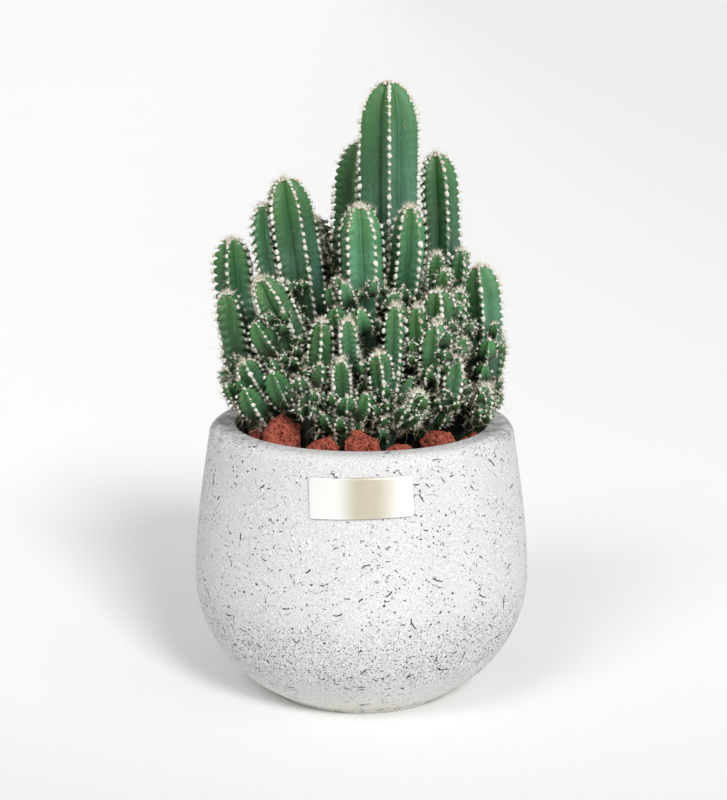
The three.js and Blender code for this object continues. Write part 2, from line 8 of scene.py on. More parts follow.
import bmesh
import bpy
import numpy as np
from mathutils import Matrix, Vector


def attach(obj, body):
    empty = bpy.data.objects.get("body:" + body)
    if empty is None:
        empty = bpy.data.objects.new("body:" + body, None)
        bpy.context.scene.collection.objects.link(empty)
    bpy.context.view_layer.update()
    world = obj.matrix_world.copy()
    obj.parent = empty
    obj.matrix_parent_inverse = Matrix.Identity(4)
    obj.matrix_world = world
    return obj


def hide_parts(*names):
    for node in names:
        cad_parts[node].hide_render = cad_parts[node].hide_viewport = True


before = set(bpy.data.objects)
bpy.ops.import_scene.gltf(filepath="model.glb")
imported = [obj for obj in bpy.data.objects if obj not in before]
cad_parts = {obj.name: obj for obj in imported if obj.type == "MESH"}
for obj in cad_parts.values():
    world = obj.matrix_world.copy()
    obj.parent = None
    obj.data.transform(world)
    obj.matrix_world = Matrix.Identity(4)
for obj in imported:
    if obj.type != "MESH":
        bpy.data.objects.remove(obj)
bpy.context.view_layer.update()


# The studio. A wide sheet of pale paper under an even white sky, lit by a broad soft sun from the front
# right, a weaker one from the front left and a softbox beside it. The camera stands about a metre off and
# looks down a little.
def linear(red, green, blue):
    """A colour given on the usual 0 to 255 scale, as the shader's linear colour."""
    shares = [channel / 255 for channel in (red, green, blue)]
    return tuple(s / 12.92 if s < 0.04045 else ((s + 0.055) / 1.055) ** 2.4 for s in shares) + (1.0,)


def find_socket(sockets, key):
    """A node's socket in use, by its place, its identifier or its name."""
    if isinstance(key, int):
        return sockets[key]
    usable = [socket for socket in sockets if not socket.is_unavailable]
    return next(socket for socket in usable if key in (socket.identifier, socket.name))


class Wire:
    """An output of a node. A sum on it adds a Math node to the same tree."""

    def __init__(self, tree, socket):
        self.tree = tree
        self.socket = socket

    def __getitem__(self, key):
        return Wire(self.tree, find_socket(self.socket.node.outputs, key))

    def __add__(self, other):
        return self.tree.sum("ADD", self, other)

    def __sub__(self, other):
        return self.tree.sum("SUBTRACT", self, other)

    def __rsub__(self, other):
        return self.tree.sum("SUBTRACT", other, self)

    def __mul__(self, other):
        return self.tree.sum("MULTIPLY", self, other)

    def __truediv__(self, other):
        return self.tree.sum("DIVIDE", self, other)

    def __rtruediv__(self, other):
        return self.tree.sum("DIVIDE", other, self)

    def __lt__(self, other):
        return self.tree.sum("LESS_THAN", self, other)

    def __gt__(self, other):
        return self.tree.sum("GREATER_THAN", self, other)

    def __abs__(self):
        return self.tree.sum("ABSOLUTE", self)

    __radd__ = __add__
    __rmul__ = __mul__


class Tree:
    """A node tree that is written as sums on wires and calls of node()."""

    def __init__(self, tree):
        self.tree = tree

    def node(self, kind, settings=None, sockets=None):
        """Adds a node: its settings first, then the values and wires of its sockets."""
        node = self.tree.nodes.new(kind)
        for name, value in (settings or {}).items():
            setattr(node, name, value)
        for key, value in (sockets or {}).items():
            socket = find_socket(node.inputs, key)
            for one in value if isinstance(value, list) else [value]:
                if isinstance(one, Wire):
                    self.tree.links.new(one.socket, socket)
                else:
                    socket.default_value = one
        usable = [socket for socket in node.outputs if not socket.is_unavailable]
        return Wire(self, usable[0]) if usable else None

    def sum(self, operation, *values):
        return self.node("ShaderNodeMath", {"operation": operation}, dict(enumerate(values)))

    def vector(self, operation, *values):
        result = self.node("ShaderNodeVectorMath", {"operation": operation}, dict(enumerate(values)))
        return result["Value"] if operation in ("DOT_PRODUCT", "LENGTH") else result

    def scaled(self, vector, factor):
        return self.node("ShaderNodeVectorMath", {"operation": "SCALE"}, {0: vector, "Scale": factor})

    def parts(self, vector):
        return self.node("ShaderNodeSeparateXYZ", {}, {"Vector": vector})

    def joined(self, **parts):
        return self.node("ShaderNodeCombineXYZ", {}, parts)

    def step(self, value, low, high, start=0.0, end=1.0):
        """Passes smoothly from start to end while value goes from low to high."""
        settings = {"interpolation_type": "SMOOTHSTEP"}
        sockets = {"Value": value, "From Min": low, "From Max": high, "To Min": start, "To Max": end}
        return self.node("ShaderNodeMapRange", settings, sockets)

    def noise(self, scale, detail=2.0, place=None, roughness=0.5):
        sockets = {"Scale": scale, "Detail": detail, "Roughness": roughness}
        if place is not None:
            sockets["Vector"] = place
        return self.node("ShaderNodeTexNoise", {}, sockets)

    def cells(self, scale, place=None, **settings):
        sockets = {"Scale": scale}
        if place is not None:
            sockets["Vector"] = place
        return self.node("ShaderNodeTexVoronoi", settings, sockets)


class Finish(Tree):
    """A material. Its patterns are laid out in the piece's own Object coordinates, in metres."""

    def __init__(self, name):
        self.material = bpy.data.materials.new(name)
        self.material.use_nodes = True
        super().__init__(self.material.node_tree)
        self.tree.nodes.clear()
        self.place = self.node("ShaderNodeTexCoord")["Object"]

    def noise(self, scale, detail=2.0, place=None, roughness=0.5):
        return super().noise(scale, detail, place or self.place, roughness)

    def cells(self, scale, place=None, **settings):
        return super().cells(scale, place or self.place, **settings)

    def mix(self, factor, first, second):
        """From the first colour to the second as factor goes from 0 to 1."""
        sockets = {"Factor": factor, "A": first, "B": second}
        return self.node("ShaderNodeMix", {"data_type": "RGBA"}, sockets)

    def measured(self, name):
        return self.node("ShaderNodeAttribute", {"attribute_name": name})["Fac"]

    def draws(self, grain):
        """Three random shares for each cell of a pattern, as Red, Green and Blue."""
        return self.node("ShaderNodeSeparateColor", {}, {"Color": grain["Color"]})

    def bump(self, height, distance, strength=1.0, under=None):
        """A relief of this many metres for a height from 0 to 1."""
        sockets = {"Height": height, "Distance": distance, "Strength": strength}
        if under is not None:
            sockets["Normal"] = under
        return self.node("ShaderNodeBump", {}, sockets)

    def surface(self, **sockets):
        named = {name.replace("_", " "): value for name, value in sockets.items()}
        shader = self.node("ShaderNodeBsdfPrincipled", {}, named)
        self.node("ShaderNodeOutputMaterial", {}, {"Surface": shader})
        return self.material


def studio_floor():
    size = 40
    mesh = bpy.data.meshes.new("studio_floor")
    corners = [(-size, -size, 0), (size, -size, 0), (size, size, 0), (-size, size, 0)]
    mesh.from_pydata(corners, [], [(0, 1, 2, 3)])
    floor = bpy.data.objects.new("studio_floor", mesh)
    bpy.context.scene.collection.objects.link(floor)
    paper = Finish("studio_paper")
    parts = paper.parts(paper.place)
    # Painted light: the paper is painted lighter on the left and darker to the right, as the light falls
    # off.
    paper_with_painted_falloff = paper.mix(paper.step(parts["X"], -0.6, 1.0), linear(253, 253, 253), linear(238, 238, 238))
    # Painted shade: the paper is painted darker towards the camera.
    painted_near_shade = paper.step(parts["Y"], -0.28, 0.12, 1.0, 0.0)
    paper_with_painted_falloff = paper.mix(painted_near_shade, paper_with_painted_falloff, linear(228, 228, 228))
    paper_with_painted_falloff = paper.mix(paper.noise(3.0, 3.0) * 0.2, paper_with_painted_falloff, linear(244, 244, 244))
    mesh.materials.append(paper.surface(Base_Color=paper_with_painted_falloff, Roughness=0.9))


def studio_sky(brightness):
    world = bpy.data.worlds.new("studio_sky")
    world.use_nodes = True
    backdrop = world.node_tree.nodes["Background"]
    backdrop.inputs["Color"].default_value = (1.0, 1.0, 1.0, 1.0)
    backdrop.inputs["Strength"].default_value = brightness
    bpy.context.scene.world = world


def studio_light(name, kind, place, aim, power, **settings):
    lamp = bpy.data.lights.new(name, kind)
    lamp.energy = power
    for setting, value in settings.items():
        setattr(lamp, setting, value)
    light = bpy.data.objects.new(name, lamp)
    light.location = place
    light.rotation_euler = (Vector(aim) - Vector(place)).to_track_quat("-Z", "Y").to_euler()
    bpy.context.scene.collection.objects.link(light)


def studio_camera():
    distance, height, aside, pitch = 0.950, 0.364, 0.001, 12.73
    focal_pixels, long_side = 1931, 800
    lens = bpy.data.cameras.new("camera")
    lens.sensor_width = 36
    lens.lens = focal_pixels * lens.sensor_width / long_side
    lens.clip_end = 100
    camera = bpy.data.objects.new("camera", lens)
    camera.location = (aside, -distance, height)
    camera.rotation_euler = (math.radians(90 - pitch), 0, 0)
    bpy.context.scene.collection.objects.link(camera)
    bpy.context.scene.camera = camera


middle = (0, 0, 0.13)
studio_floor()
studio_sky(0.47)
studio_light("key_light", "SUN", (0.40, -0.95, 0.82), middle, 2.05, angle=math.radians(15))
studio_light("fill_light", "SUN", (-0.50, -0.75, 0.95), middle, 0.84, angle=math.radians(24))
studio_light("softbox", "AREA", (0.75, -0.60, 0.60), middle, 1.5, shape="RECTANGLE", size=0.5, size_y=0.7)
studio_camera()
bpy.context.scene.view_settings.view_transform = "Standard"


# The pot. Fibre cement, cast with a flat foot, a round belly and a thick soft lip, left bare and unsealed.
# Chopped black fibres, coal specks and white crumbs lie in the skin, thickest in a band low on the belly.
MM = 0.001
POT_HEIGHT, POT_RADIUS, WIDEST_HEIGHT = 139, 85, 64
BASE_RADIUS, BASE_EDGE = 48, 2
SHOULDER_RADIUS, RIM_ROUNDING = 77, 6
MOUTH_RADIUS, MOUTH_ROUNDING = 63.2, 1.5
WALL, POT_FLOOR, FLOOR_RADIUS = 12, 12, 40
POT_SIDES = 144


def bezier(first, second, third, fourth, steps):
    share = np.linspace(0, 1, steps + 1)[:, None]
    ends = (1 - share) ** 3 * np.array(first) + share**3 * np.array(fourth)
    return ends + 3 * (1 - share) * share * ((1 - share) * np.array(second) + share * np.array(third))


def rounding(centre, radius, start, end, steps):
    """An arc of [radius, height] points between two angles in degrees."""
    angles = np.radians(np.linspace(start, end, steps + 1))
    return np.stack([centre[0] + radius * np.cos(angles), centre[1] + radius * np.sin(angles)], axis=1)


def outer_wall():
    widest = (POT_RADIUS, WIDEST_HEIGHT)
    shoulder = (SHOULDER_RADIUS, POT_HEIGHT - RIM_ROUNDING)
    belly = bezier((BASE_RADIUS, BASE_EDGE), (67, 11), (86, 33), widest, 22)
    neck = bezier(widest, (84.5, 86), (80.5, 110), shoulder, 20)
    lip = rounding((SHOULDER_RADIUS - RIM_ROUNDING, shoulder[1]), RIM_ROUNDING, 0, 90, 8)
    wall = np.concatenate([belly, neck[1:], lip[1:]])
    wall[:, 0] = np.minimum(wall[:, 0], POT_RADIUS)
    return wall


def inner_wall():
    widest = (POT_RADIUS - WALL, WIDEST_HEIGHT)
    neck = bezier((MOUTH_RADIUS, POT_HEIGHT - MOUTH_ROUNDING), (70, 112), (73, 90), widest, 8)
    bowl = bezier(widest, (73, 40), (60, 18), (FLOOR_RADIUS, POT_FLOOR), 8)
    return np.concatenate([neck, bowl[1:]])


def new_piece(name, points, faces, material, measures=None):
    """A smooth mesh from points in millimetres, with a named value for each point where it is given."""
    mesh = bpy.data.meshes.new(name)
    mesh.from_pydata((np.asarray(points) * MM).tolist(), [], faces)
    mesh.shade_smooth()
    if material:
        mesh.materials.append(material)
    for measure, values in (measures or {}).items():
        kind = "FLOAT_VECTOR" if np.ndim(values) == 2 else "FLOAT"
        slot = "vector" if kind == "FLOAT_VECTOR" else "value"
        layer = mesh.attributes.new(measure, kind, "POINT")
        layer.data.foreach_set(slot, np.ravel(values).astype(np.float32))
    piece = bpy.data.objects.new(name, mesh)
    bpy.context.scene.collection.objects.link(piece)
    return piece


def on_root(piece, slot, *nodes):
    """The piece rides on the one body and stands for these nodes. The slot is not used."""
    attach(piece, "root")
    if nodes:
        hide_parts(*nodes)


def turned(name, outline, sides, material):
    """Turns an outline that starts and ends on the Z axis, round that axis."""
    angles = np.arange(sides) * 2 * np.pi / sides
    ring = np.stack([np.sin(angles), -np.cos(angles)], axis=1)
    inner = np.asarray(outline)[1:-1]
    points = [np.array([[0, 0, outline[0][1]]])]
    for radius, height in inner:
        points.append(np.column_stack([ring * radius, np.full(sides, height)]))
    points.append(np.array([[0, 0, outline[-1][1]]]))
    points = np.concatenate(points)
    faces = []
    last = len(points) - 1
    top = 1 + (len(inner) - 1) * sides
    for side in range(sides):
        after = (side + 1) % sides
        faces.append((0, 1 + after, 1 + side))
        for row in range(len(inner) - 1):
            low, high = 1 + row * sides, 1 + (row + 1) * sides
            faces.append((low + side, low + after, high + after, high + side))
        faces.append((top + side, top + after, last))
    return new_piece(name, points, faces, material)


def cement():
    finish = Finish("speckled_cement")
    parts = finish.parts(finish.place)
    height, across = parts["Z"], abs(parts["X"])
    normal = finish.node("ShaderNodeNewGeometry")["Normal"]
    belly = finish.step(height, 0.014, 0.030) * finish.step(height, 0.044, 0.066, 1.0, 0.0)
    crowding = finish.noise(55.0, 3.0)
    shaken = finish.scaled(finish.noise(1000.0, 2.0)["Color"], 1.1 * MM)
    torn = finish.vector("ADD", finish.place, shaken)

    def fibres(cell, length, thickness, share, bend):
        """Short bent strands, one in some of the cells, each laid along the surface in its own direction."""
        grain = finish.cells(1 / (cell * MM), torn)
        drawn = finish.draws(grain)
        offset = finish.vector("SUBTRACT", torn, grain["Position"])
        heading = finish.vector("SUBTRACT", grain["Color"], (0.5, 0.5, 0.5))
        side = finish.vector("NORMALIZE", finish.vector("CROSS_PRODUCT", normal, heading))
        run = finish.vector("CROSS_PRODUCT", side, normal)
        along = finish.vector("DOT_PRODUCT", offset, run)
        curl = (drawn["Green"] - 0.5) * (bend / MM)
        aside = abs(finish.vector("DOT_PRODUCT", offset, side) + curl * along * along)
        reach = drawn["Blue"] * (0.6 * length * MM) + 0.4 * length * MM
        thick = thickness * MM
        inside = finish.step(abs(along) - reach * 0.5, -0.3 * thick, 0.2 * thick, 1.0, 0.0)
        thin = finish.step(aside, 0.25 * thick, 0.6 * thick, 1.0, 0.0)
        return inside * thin * (drawn["Red"] < share)

    def specks(cell, size, share):
        """Small crumbs of about this radius, one in some of the cells."""
        grain = finish.cells(1 / (cell * MM), torn)
        drawn = finish.draws(grain)
        offset = finish.vector("SUBTRACT", torn, grain["Position"])
        apart = finish.vector("LENGTH", finish.vector("CROSS_PRODUCT", offset, normal))
        radius = (drawn["Green"] * 0.7 + 0.3) * (size * MM)
        return finish.step(apart - radius, -0.06 * MM, 0.06 * MM, 1.0, 0.0) * (drawn["Red"] < share)

    cloud = finish.noise(38.0, 4.0)
    sand = finish.noise(1700.0, 2.0, roughness=0.7)
    colour = finish.mix(cloud, linear(203, 203, 203), linear(216, 216, 216))
    colour = finish.mix(finish.step(sand, 0.30, 0.55, 0.66, 0.0), colour, linear(152, 152, 153))
    colour = finish.mix(finish.step(sand, 0.54, 0.72, 0.0, 0.5), colour, linear(250, 250, 250))
    foot = finish.step(height, 0.004, 0.020, 1.0, 0.0)
    colour = finish.mix(foot * 0.7, colour, linear(226, 224, 215))
    white = specks(2.7, 0.42, 0.16) + fibres(7.7, 3.0, 0.45, 0.08, 0.40)
    colour = finish.mix(white * 0.8, colour, linear(255, 255, 255))
    dust = specks(1.5, 0.27, 0.24) * finish.step(crowding + belly * 0.3, 0.36, 0.60, 0.3, 1.0)
    colour = finish.mix(dust * 0.85, colour, linear(64, 64, 68))
    soot = specks(1.2, 0.38, 0.72) * belly * finish.step(crowding, 0.30, 0.50, 0.45, 1.0)
    colour = finish.mix(soot * 0.9, colour, linear(40, 40, 46))
    clustered = finish.step(crowding + belly * 0.16, 0.40, 0.50, 0.15, 1.0)
    coal = (specks(2.6, 0.44, 0.26) + specks(5.5, 0.66, 0.16)) * clustered
    strands = (fibres(4.1, 2.2, 0.48, 0.22, 0.9) + fibres(6.3, 3.6, 0.66, 0.14, 0.8)) * clustered
    strands = strands + fibres(12.0, 7.5, 0.80, 0.22, 0.30)
    hairs = fibres(11.5, 10.0, 0.28, 0.24, 0.24)
    colour = finish.mix(coal * 0.95, colour, linear(26, 26, 30))
    colour = finish.mix(strands * 0.98, colour, linear(14, 14, 18))
    colour = finish.mix(hairs * 0.8, colour, linear(60, 60, 64))
    lip = finish.step(height, 0.1315, 0.1385)
    smudges = finish.step(finish.noise(120.0, 5.0, roughness=0.75), 0.44, 0.62)
    handling = smudges * finish.step(across, 0.045, 0.068)
    colour = finish.mix(lip * handling * 0.6, colour, linear(104, 100, 96))
    outward = finish.vector("NORMALIZE", finish.place)
    inside = finish.step(finish.vector("DOT_PRODUCT", normal, outward), -0.05, -0.4)
    colour = finish.mix(inside * 0.5, colour, linear(150, 146, 140))
    pits = finish.noise(700.0, 3.0, roughness=0.65)
    relief = finish.bump(pits, 0.00035, 0.5)
    relief = finish.bump(1.0 - coal, 0.0002, 0.6, under=relief)
    rough = finish.step(sand, 0.3, 0.7, 0.78, 0.92)
    return finish.surface(Base_Color=colour, Roughness=rough, Normal=relief, Specular_IOR_Level=0.3)


foot_edge = rounding((BASE_RADIUS - BASE_EDGE, BASE_EDGE), BASE_EDGE, -90, -10, 4)
mouth_centre = (MOUTH_RADIUS + MOUTH_ROUNDING, POT_HEIGHT - MOUTH_ROUNDING)
mouth_edge = rounding(mouth_centre, MOUTH_ROUNDING, 90, 170, 5)
outside = [[(0, 0), (BASE_RADIUS / 2, 0)], foot_edge, outer_wall()]
hollow = [mouth_edge, inner_wall(), [(0, POT_FLOOR)]]
pot = turned("cement_pot", np.concatenate(outside + hollow), POT_SIDES, cement())
on_root(pot, "cement", "pot")


# The plate. A thin strip of champagne-coloured brass, cut with small round corners, bent to the pot's wall
# and stuck on below the lip, a touch out of level. It is bare, with a fine satin brushed along its length.
PLATE_WIDTH, PLATE_HEIGHT, PLATE_THICKNESS = 49, 19, 1
PLATE_CENTRE_HEIGHT, PLATE_TILT, PLATE_CORNER = 120, 1.4, 1.2
PLATE_GAP, PLATE_EDGE = 0.3, 0.25
CORNER_STEPS, SIDE_STEPS = 5, 22


def plate_outline(inset):
    """The plate's edge, drawn in by an inset: rounded corners joined by stepped sides."""
    corner = max(PLATE_CORNER - inset, 0.2)
    across, up = PLATE_WIDTH / 2 - inset - corner, PLATE_HEIGHT / 2 - inset - corner
    centres = [(across, up), (-across, up), (-across, -up), (across, -up)]
    ends = [(-across, up + corner), (-across - corner, -up), (across, -up - corner), (across + corner, up)]
    points = []
    for turn, (centre, end) in enumerate(zip(centres, ends)):
        points.extend(rounding(centre, corner, turn * 90, turn * 90 + 90, CORNER_STEPS))
        start = np.array(points[-1])
        side = np.linspace(0, 1, SIDE_STEPS + 1)[1:-1]
        points.extend(start + (np.array(end) - start) * share for share in side)
    return np.array(points)


def on_pot_wall(flat, out):
    """Points of the flat plate, bent to the pot's wall at a distance from it."""
    tilt = math.radians(PLATE_TILT)
    x = flat[:, 0] * math.cos(tilt) - flat[:, 1] * math.sin(tilt)
    z = flat[:, 0] * math.sin(tilt) + flat[:, 1] * math.cos(tilt) + PLATE_CENTRE_HEIGHT
    wall = outer_wall()
    radius = np.interp(z, wall[:, 1], wall[:, 0]) + out
    return np.column_stack([x, -np.sqrt(radius**2 - x**2), z])


def satin_brass():
    finish = Finish("satin_brass")
    parts = finish.parts(finish.place)
    stretched = finish.joined(X=parts["X"] * 0.02, Y=0.0, Z=parts["Z"])
    brushed = finish.noise(5200.0, 3.0, place=stretched)
    wear = finish.noise(160.0, 4.0)
    # A painted reflection: the plate is painted near white at both ends and a darker gold across the middle.
    painted_reflection_sweep = finish.step(parts["X"], -0.013, -0.001)
    painted_reflection_sweep = painted_reflection_sweep * finish.step(parts["X"], 0.006, 0.021, 1.0, 0.1)
    colour = finish.mix(painted_reflection_sweep, linear(252, 252, 248), linear(206, 198, 176))
    colour = finish.mix(finish.step(wear, 0.55, 0.8, 0.0, 0.12), colour, linear(214, 208, 190))
    rough = brushed * 0.16 + finish.step(wear, 0.3, 0.7, 0.22, 0.26)
    relief = finish.bump(brushed, 0.00002, 0.35)
    return finish.surface(Base_Color=colour, Metallic=0.55, Roughness=rough, Normal=relief)


def bend_plate():
    face = PLATE_GAP + PLATE_THICKNESS
    full, border = plate_outline(0), plate_outline(PLATE_EDGE)
    rings = [on_pot_wall(full * share, PLATE_GAP) for share in (0.2, 0.5, 0.8, 1)]
    rings.append(on_pot_wall(full, face - PLATE_EDGE))
    rings.append(on_pot_wall(plate_outline(PLATE_EDGE * 0.3), face - PLATE_EDGE * 0.3))
    rings.extend(on_pot_wall(border * share, face) for share in (1, 0.9, 0.75, 0.6, 0.45, 0.3, 0.15))
    middles = [on_pot_wall(np.zeros((1, 2)), out) for out in (PLATE_GAP, face)]
    count = len(border)
    points = np.concatenate(rings + middles)
    behind, front = len(points) - 2, len(points) - 1
    faces = []
    for place in range(count):
        after = (place + 1) % count
        faces.append((behind, after, place))
        for ring in range(len(rings) - 1):
            low, high = ring * count, (ring + 1) * count
            faces.append((low + place, low + after, high + after, high + place))
        last = (len(rings) - 1) * count
        faces.append((last + place, last + after, front))
    return new_piece("brass_plate", points, faces, satin_brass())


plate = bend_plate()
on_root(plate, "plate_metal", "plate")


# The soil. Dark peat with bark and a little grit fills the pot to a finger's breadth below the lip. The
# columns are rooted in it, and loose crumbs lie on top.
SOIL_TOP, SOIL_RADIUS, SOIL_GAP = 128, 64.4, 0.3
SOIL_RINGS, SOIL_SIDES = 46, 150


class Grower(Tree):
    """A Geometry Nodes tree with named inputs, which makes a finished plain mesh from a piece."""

    def __init__(self, name, **sizes):
        super().__init__(bpy.data.node_groups.new(name, "GeometryNodeTree"))
        face = self.tree.interface
        face.new_socket(name="Geometry", in_out="OUTPUT", socket_type="NodeSocketGeometry")
        face.new_socket(name="Geometry", in_out="INPUT", socket_type="NodeSocketGeometry")
        kinds = {int: "NodeSocketInt", float: "NodeSocketFloat", bpy.types.Material: "NodeSocketMaterial"}
        self.keys = {}
        for size, value in sizes.items():
            label = size.replace("_", " ").capitalize()
            socket = face.new_socket(name=label, in_out="INPUT", socket_type=kinds[type(value)])
            self.keys[size] = socket.identifier
        self.sizes = sizes
        self.given = self.node("NodeGroupInput")

    def size(self, name):
        return self.given[self.keys[name]]

    def named(self, attribute, kind="FLOAT"):
        settings = {"data_type": kind}
        return self.node("GeometryNodeInputNamedAttribute", settings, {"Name": attribute})

    def drawn(self, low, high, seed, kind="FLOAT"):
        """A random value for each point."""
        sockets = {"Min": low, "Max": high, "Seed": seed}
        return self.node("FunctionNodeRandomValue", {"data_type": kind}, sockets)

    def marked(self, geometry, name, value):
        """Stores a value under a name on the points, for the material to read."""
        settings = {"data_type": "FLOAT", "domain": "POINT"}
        sockets = {"Geometry": geometry, "Name": name, "Value": value}
        return self.node("GeometryNodeStoreNamedAttribute", settings, sockets)

    def strayed(self):
        """The outward direction of each point, thrown off it at random by the spread."""
        stray = self.drawn((-1.0, -1.0, -1.0), (1.0, 1.0, 1.0), self.size("seed"), "FLOAT_VECTOR")
        aside = self.scaled(stray, self.size("spread"))
        return self.vector("ADD", self.named("out", "FLOAT_VECTOR"), aside)

    def finish(self, geometry):
        """Realize Instances, smooth shading and the material end the tree."""
        plain = self.node("GeometryNodeRealizeInstances", {}, {"Geometry": geometry})
        smooth = self.node("GeometryNodeSetShadeSmooth", {}, {"Geometry": plain})
        sockets = {"Geometry": smooth, "Material": self.size("material")}
        dressed = self.node("GeometryNodeSetMaterial", {}, sockets)
        self.node("NodeGroupOutput", {}, {"Geometry": dressed})

    def grow(self, name, source, **changed):
        """Runs the tree on the source, which is used up, and returns the result as a new piece."""
        modifier = source.modifiers.new(name, "NODES")
        modifier.node_group = self.tree
        for size, value in {**self.sizes, **changed}.items():
            modifier[self.keys[size]] = value
        seen = source.evaluated_get(bpy.context.evaluated_depsgraph_get())
        mesh = bpy.data.meshes.new_from_object(seen)
        mesh.name = name
        source.modifiers.remove(modifier)
        bpy.data.objects.remove(source)
        piece = bpy.data.objects.new(name, mesh)
        bpy.context.scene.collection.objects.link(piece)
        return piece


def peat():
    finish = Finish("dark_peat")
    lumps = finish.noise(420.0, 5.0, roughness=0.7)
    grain = finish.cells(900.0)
    drawn = finish.draws(grain)
    colour = finish.mix(lumps, linear(22, 16, 13), linear(64, 46, 36))
    colour = finish.mix((drawn["Red"] < 0.10) * 0.8, colour, linear(112, 74, 52))
    colour = finish.mix((drawn["Red"] > 0.965) * 0.8, colour, linear(158, 148, 134))
    relief = finish.bump(lumps, 0.0012, 0.9)
    return finish.surface(Base_Color=colour, Roughness=0.95, Normal=relief, Specular_IOR_Level=0.2)


def soil_bed(material):
    """The filling's outline, with a lumpy top."""
    wall = inner_wall()
    wall = wall[wall[:, 1] < SOIL_TOP - 1][::-1]
    outline = [(0, POT_FLOOR + SOIL_GAP)]
    outline.extend((radius - SOIL_GAP, height + SOIL_GAP) for radius, height in wall)
    outline.extend((SOIL_RADIUS * share, SOIL_TOP) for share in np.linspace(1, 0, SOIL_RINGS + 1)[:-1])
    outline.append((0, SOIL_TOP))
    return turned("peat_soil", outline, SOIL_SIDES, material)


def heaping(material):
    """Raises the soil's top in lumps and hollows, less so at the pot's wall."""
    tree = Grower("soil_heaping", lump_height=0.0022, lump_width=0.011, material=material)
    place = tree.node("GeometryNodeInputPosition")
    parts = tree.parts(place)
    broad = tree.noise(1 / tree.size("lump_width"), 4.0, place)
    fine = tree.noise(4.5 / tree.size("lump_width"), 2.0, place)
    radius = tree.vector("LENGTH", tree.joined(X=parts["X"], Y=parts["Y"]))
    inside = tree.step(radius, 0.060, 0.0643, 1.0, 0.0)
    lift = (broad + fine * 0.5 - 0.85) * tree.size("lump_height") * inside
    top = parts["Z"] > (SOIL_TOP - 0.01) * MM
    sockets = {"Geometry": tree.given["Geometry"], "Selection": top, "Offset": tree.joined(Z=lift)}
    tree.finish(tree.node("GeometryNodeSetPosition", {}, sockets))
    return tree


def crumbling(material):
    """Strews small lumps of bark and grit over the top of the soil."""
    tree = Grower("soil_crumbs", crumb_size=0.0011, crumbs_per_area=66000.0, seed=7, material=material)
    normal = tree.node("GeometryNodeInputNormal")
    height = tree.parts(tree.node("GeometryNodeInputPosition"))["Z"]
    upper = (tree.parts(normal)["Z"] > 0.5) * (height > (SOIL_TOP - 8) * MM)
    sockets = {"Mesh": tree.given["Geometry"], "Selection": upper, "Density": tree.size("crumbs_per_area")}
    sockets["Seed"] = tree.size("seed")
    points = tree.node("GeometryNodeDistributePointsOnFaces", {}, sockets)
    ball = tree.node("GeometryNodeMeshIcoSphere", {}, {"Radius": tree.size("crumb_size"), "Subdivisions": 1})
    knock = tree.drawn((-0.5, -0.5, -0.5), (0.5, 0.5, 0.5), 3, "FLOAT_VECTOR")
    knocked = tree.scaled(knock, tree.size("crumb_size"))
    chip = tree.node("GeometryNodeSetPosition", {}, {"Geometry": ball, "Offset": knocked})
    turn = tree.drawn((0.0, 0.0, 0.0), (6.28, 6.28, 6.28), 4, "FLOAT_VECTOR")
    spin = tree.node("FunctionNodeEulerToRotation", {}, {"Euler": turn})
    scale = tree.drawn((0.35, 0.35, 0.3), (1.5, 1.1, 0.8), 5, "FLOAT_VECTOR")
    sockets = {"Points": points, "Instance": chip, "Rotation": spin, "Scale": scale}
    tree.finish(tree.node("GeometryNodeInstanceOnPoints", {}, sockets))
    return tree


peat_finish = peat()
soil = heaping(peat_finish).grow("peat_soil", soil_bed(peat_finish))
strewn = soil.copy()
strewn.data = soil.data.copy()
bpy.context.scene.collection.objects.link(strewn)
crumbs = crumbling(peat_finish).grow("soil_crumbs", strewn)
on_root(soil, "soil", "soil")
on_root(crumbs, "soil")


# The lava stones. Red scoria, broken into angular lumps that are full of small round bubbles. They lie loose
# on the soil between the plant and the pot's wall.
STONE_NODES = [f"lava_stone_{number}" for number in range(1, 15)]
FRONT_STONES = range(6)


def scoria():
    finish = Finish("red_scoria")
    patch = finish.noise(110.0, 4.0)
    grit = finish.noise(1500.0, 3.0, roughness=0.7)
    warped = finish.vector("ADD", finish.place, finish.scaled(finish.noise(500.0, 2.0)["Color"], 0.0012))
    bubbles = finish.cells(640.0, warped)
    small = finish.cells(1500.0, warped)
    hollow = finish.step(bubbles["Distance"], 0.18, 0.42, 1.0, 0.0)
    drawn = finish.draws(bubbles)
    hollow = hollow * (drawn["Red"] < 0.75)
    pin = finish.step(small["Distance"], 0.15, 0.36, 1.0, 0.0)
    colour = finish.mix(patch, linear(140, 62, 50), linear(200, 108, 84))
    colour = finish.mix(finish.step(grit, 0.5, 0.75, 0.0, 0.6), colour, linear(184, 112, 88))
    # The grit's dark flecks are partly the stone's own grain and partly painted shade of its rough surface.
    colour = finish.mix(finish.step(grit, 0.25, 0.45, 0.5, 0.0), colour, linear(88, 40, 34))
    grooves_with_painted_light = finish.noise(620.0, 4.0, warped, 0.75)
    # Painted shade where this pattern is low and a painted highlight where it is high, over the relief it
    # also gives.
    colour = finish.mix(finish.step(grooves_with_painted_light, 0.36, 0.52, 0.7, 0.0), colour, linear(84, 36, 31))
    colour = finish.mix(finish.step(grooves_with_painted_light, 0.54, 0.68, 0.0, 0.45), colour, linear(206, 126, 98))
    # Painted shade: the pinholes and the bubbles are painted dark, as the shade inside the pores.
    colour = finish.mix(pin * 0.65, colour, linear(78, 34, 30))
    colour = finish.mix(hollow * 0.85, colour, linear(44, 20, 20))
    relief = finish.bump(grit, 0.0004, 0.7)
    relief = finish.bump(grooves_with_painted_light, 0.0012, 0.8, under=relief)
    relief = finish.bump(1.0 - hollow, 0.0009, 0.9, under=relief)
    return finish.surface(Base_Color=colour, Roughness=0.93, Normal=relief, Specular_IOR_Level=0.25)


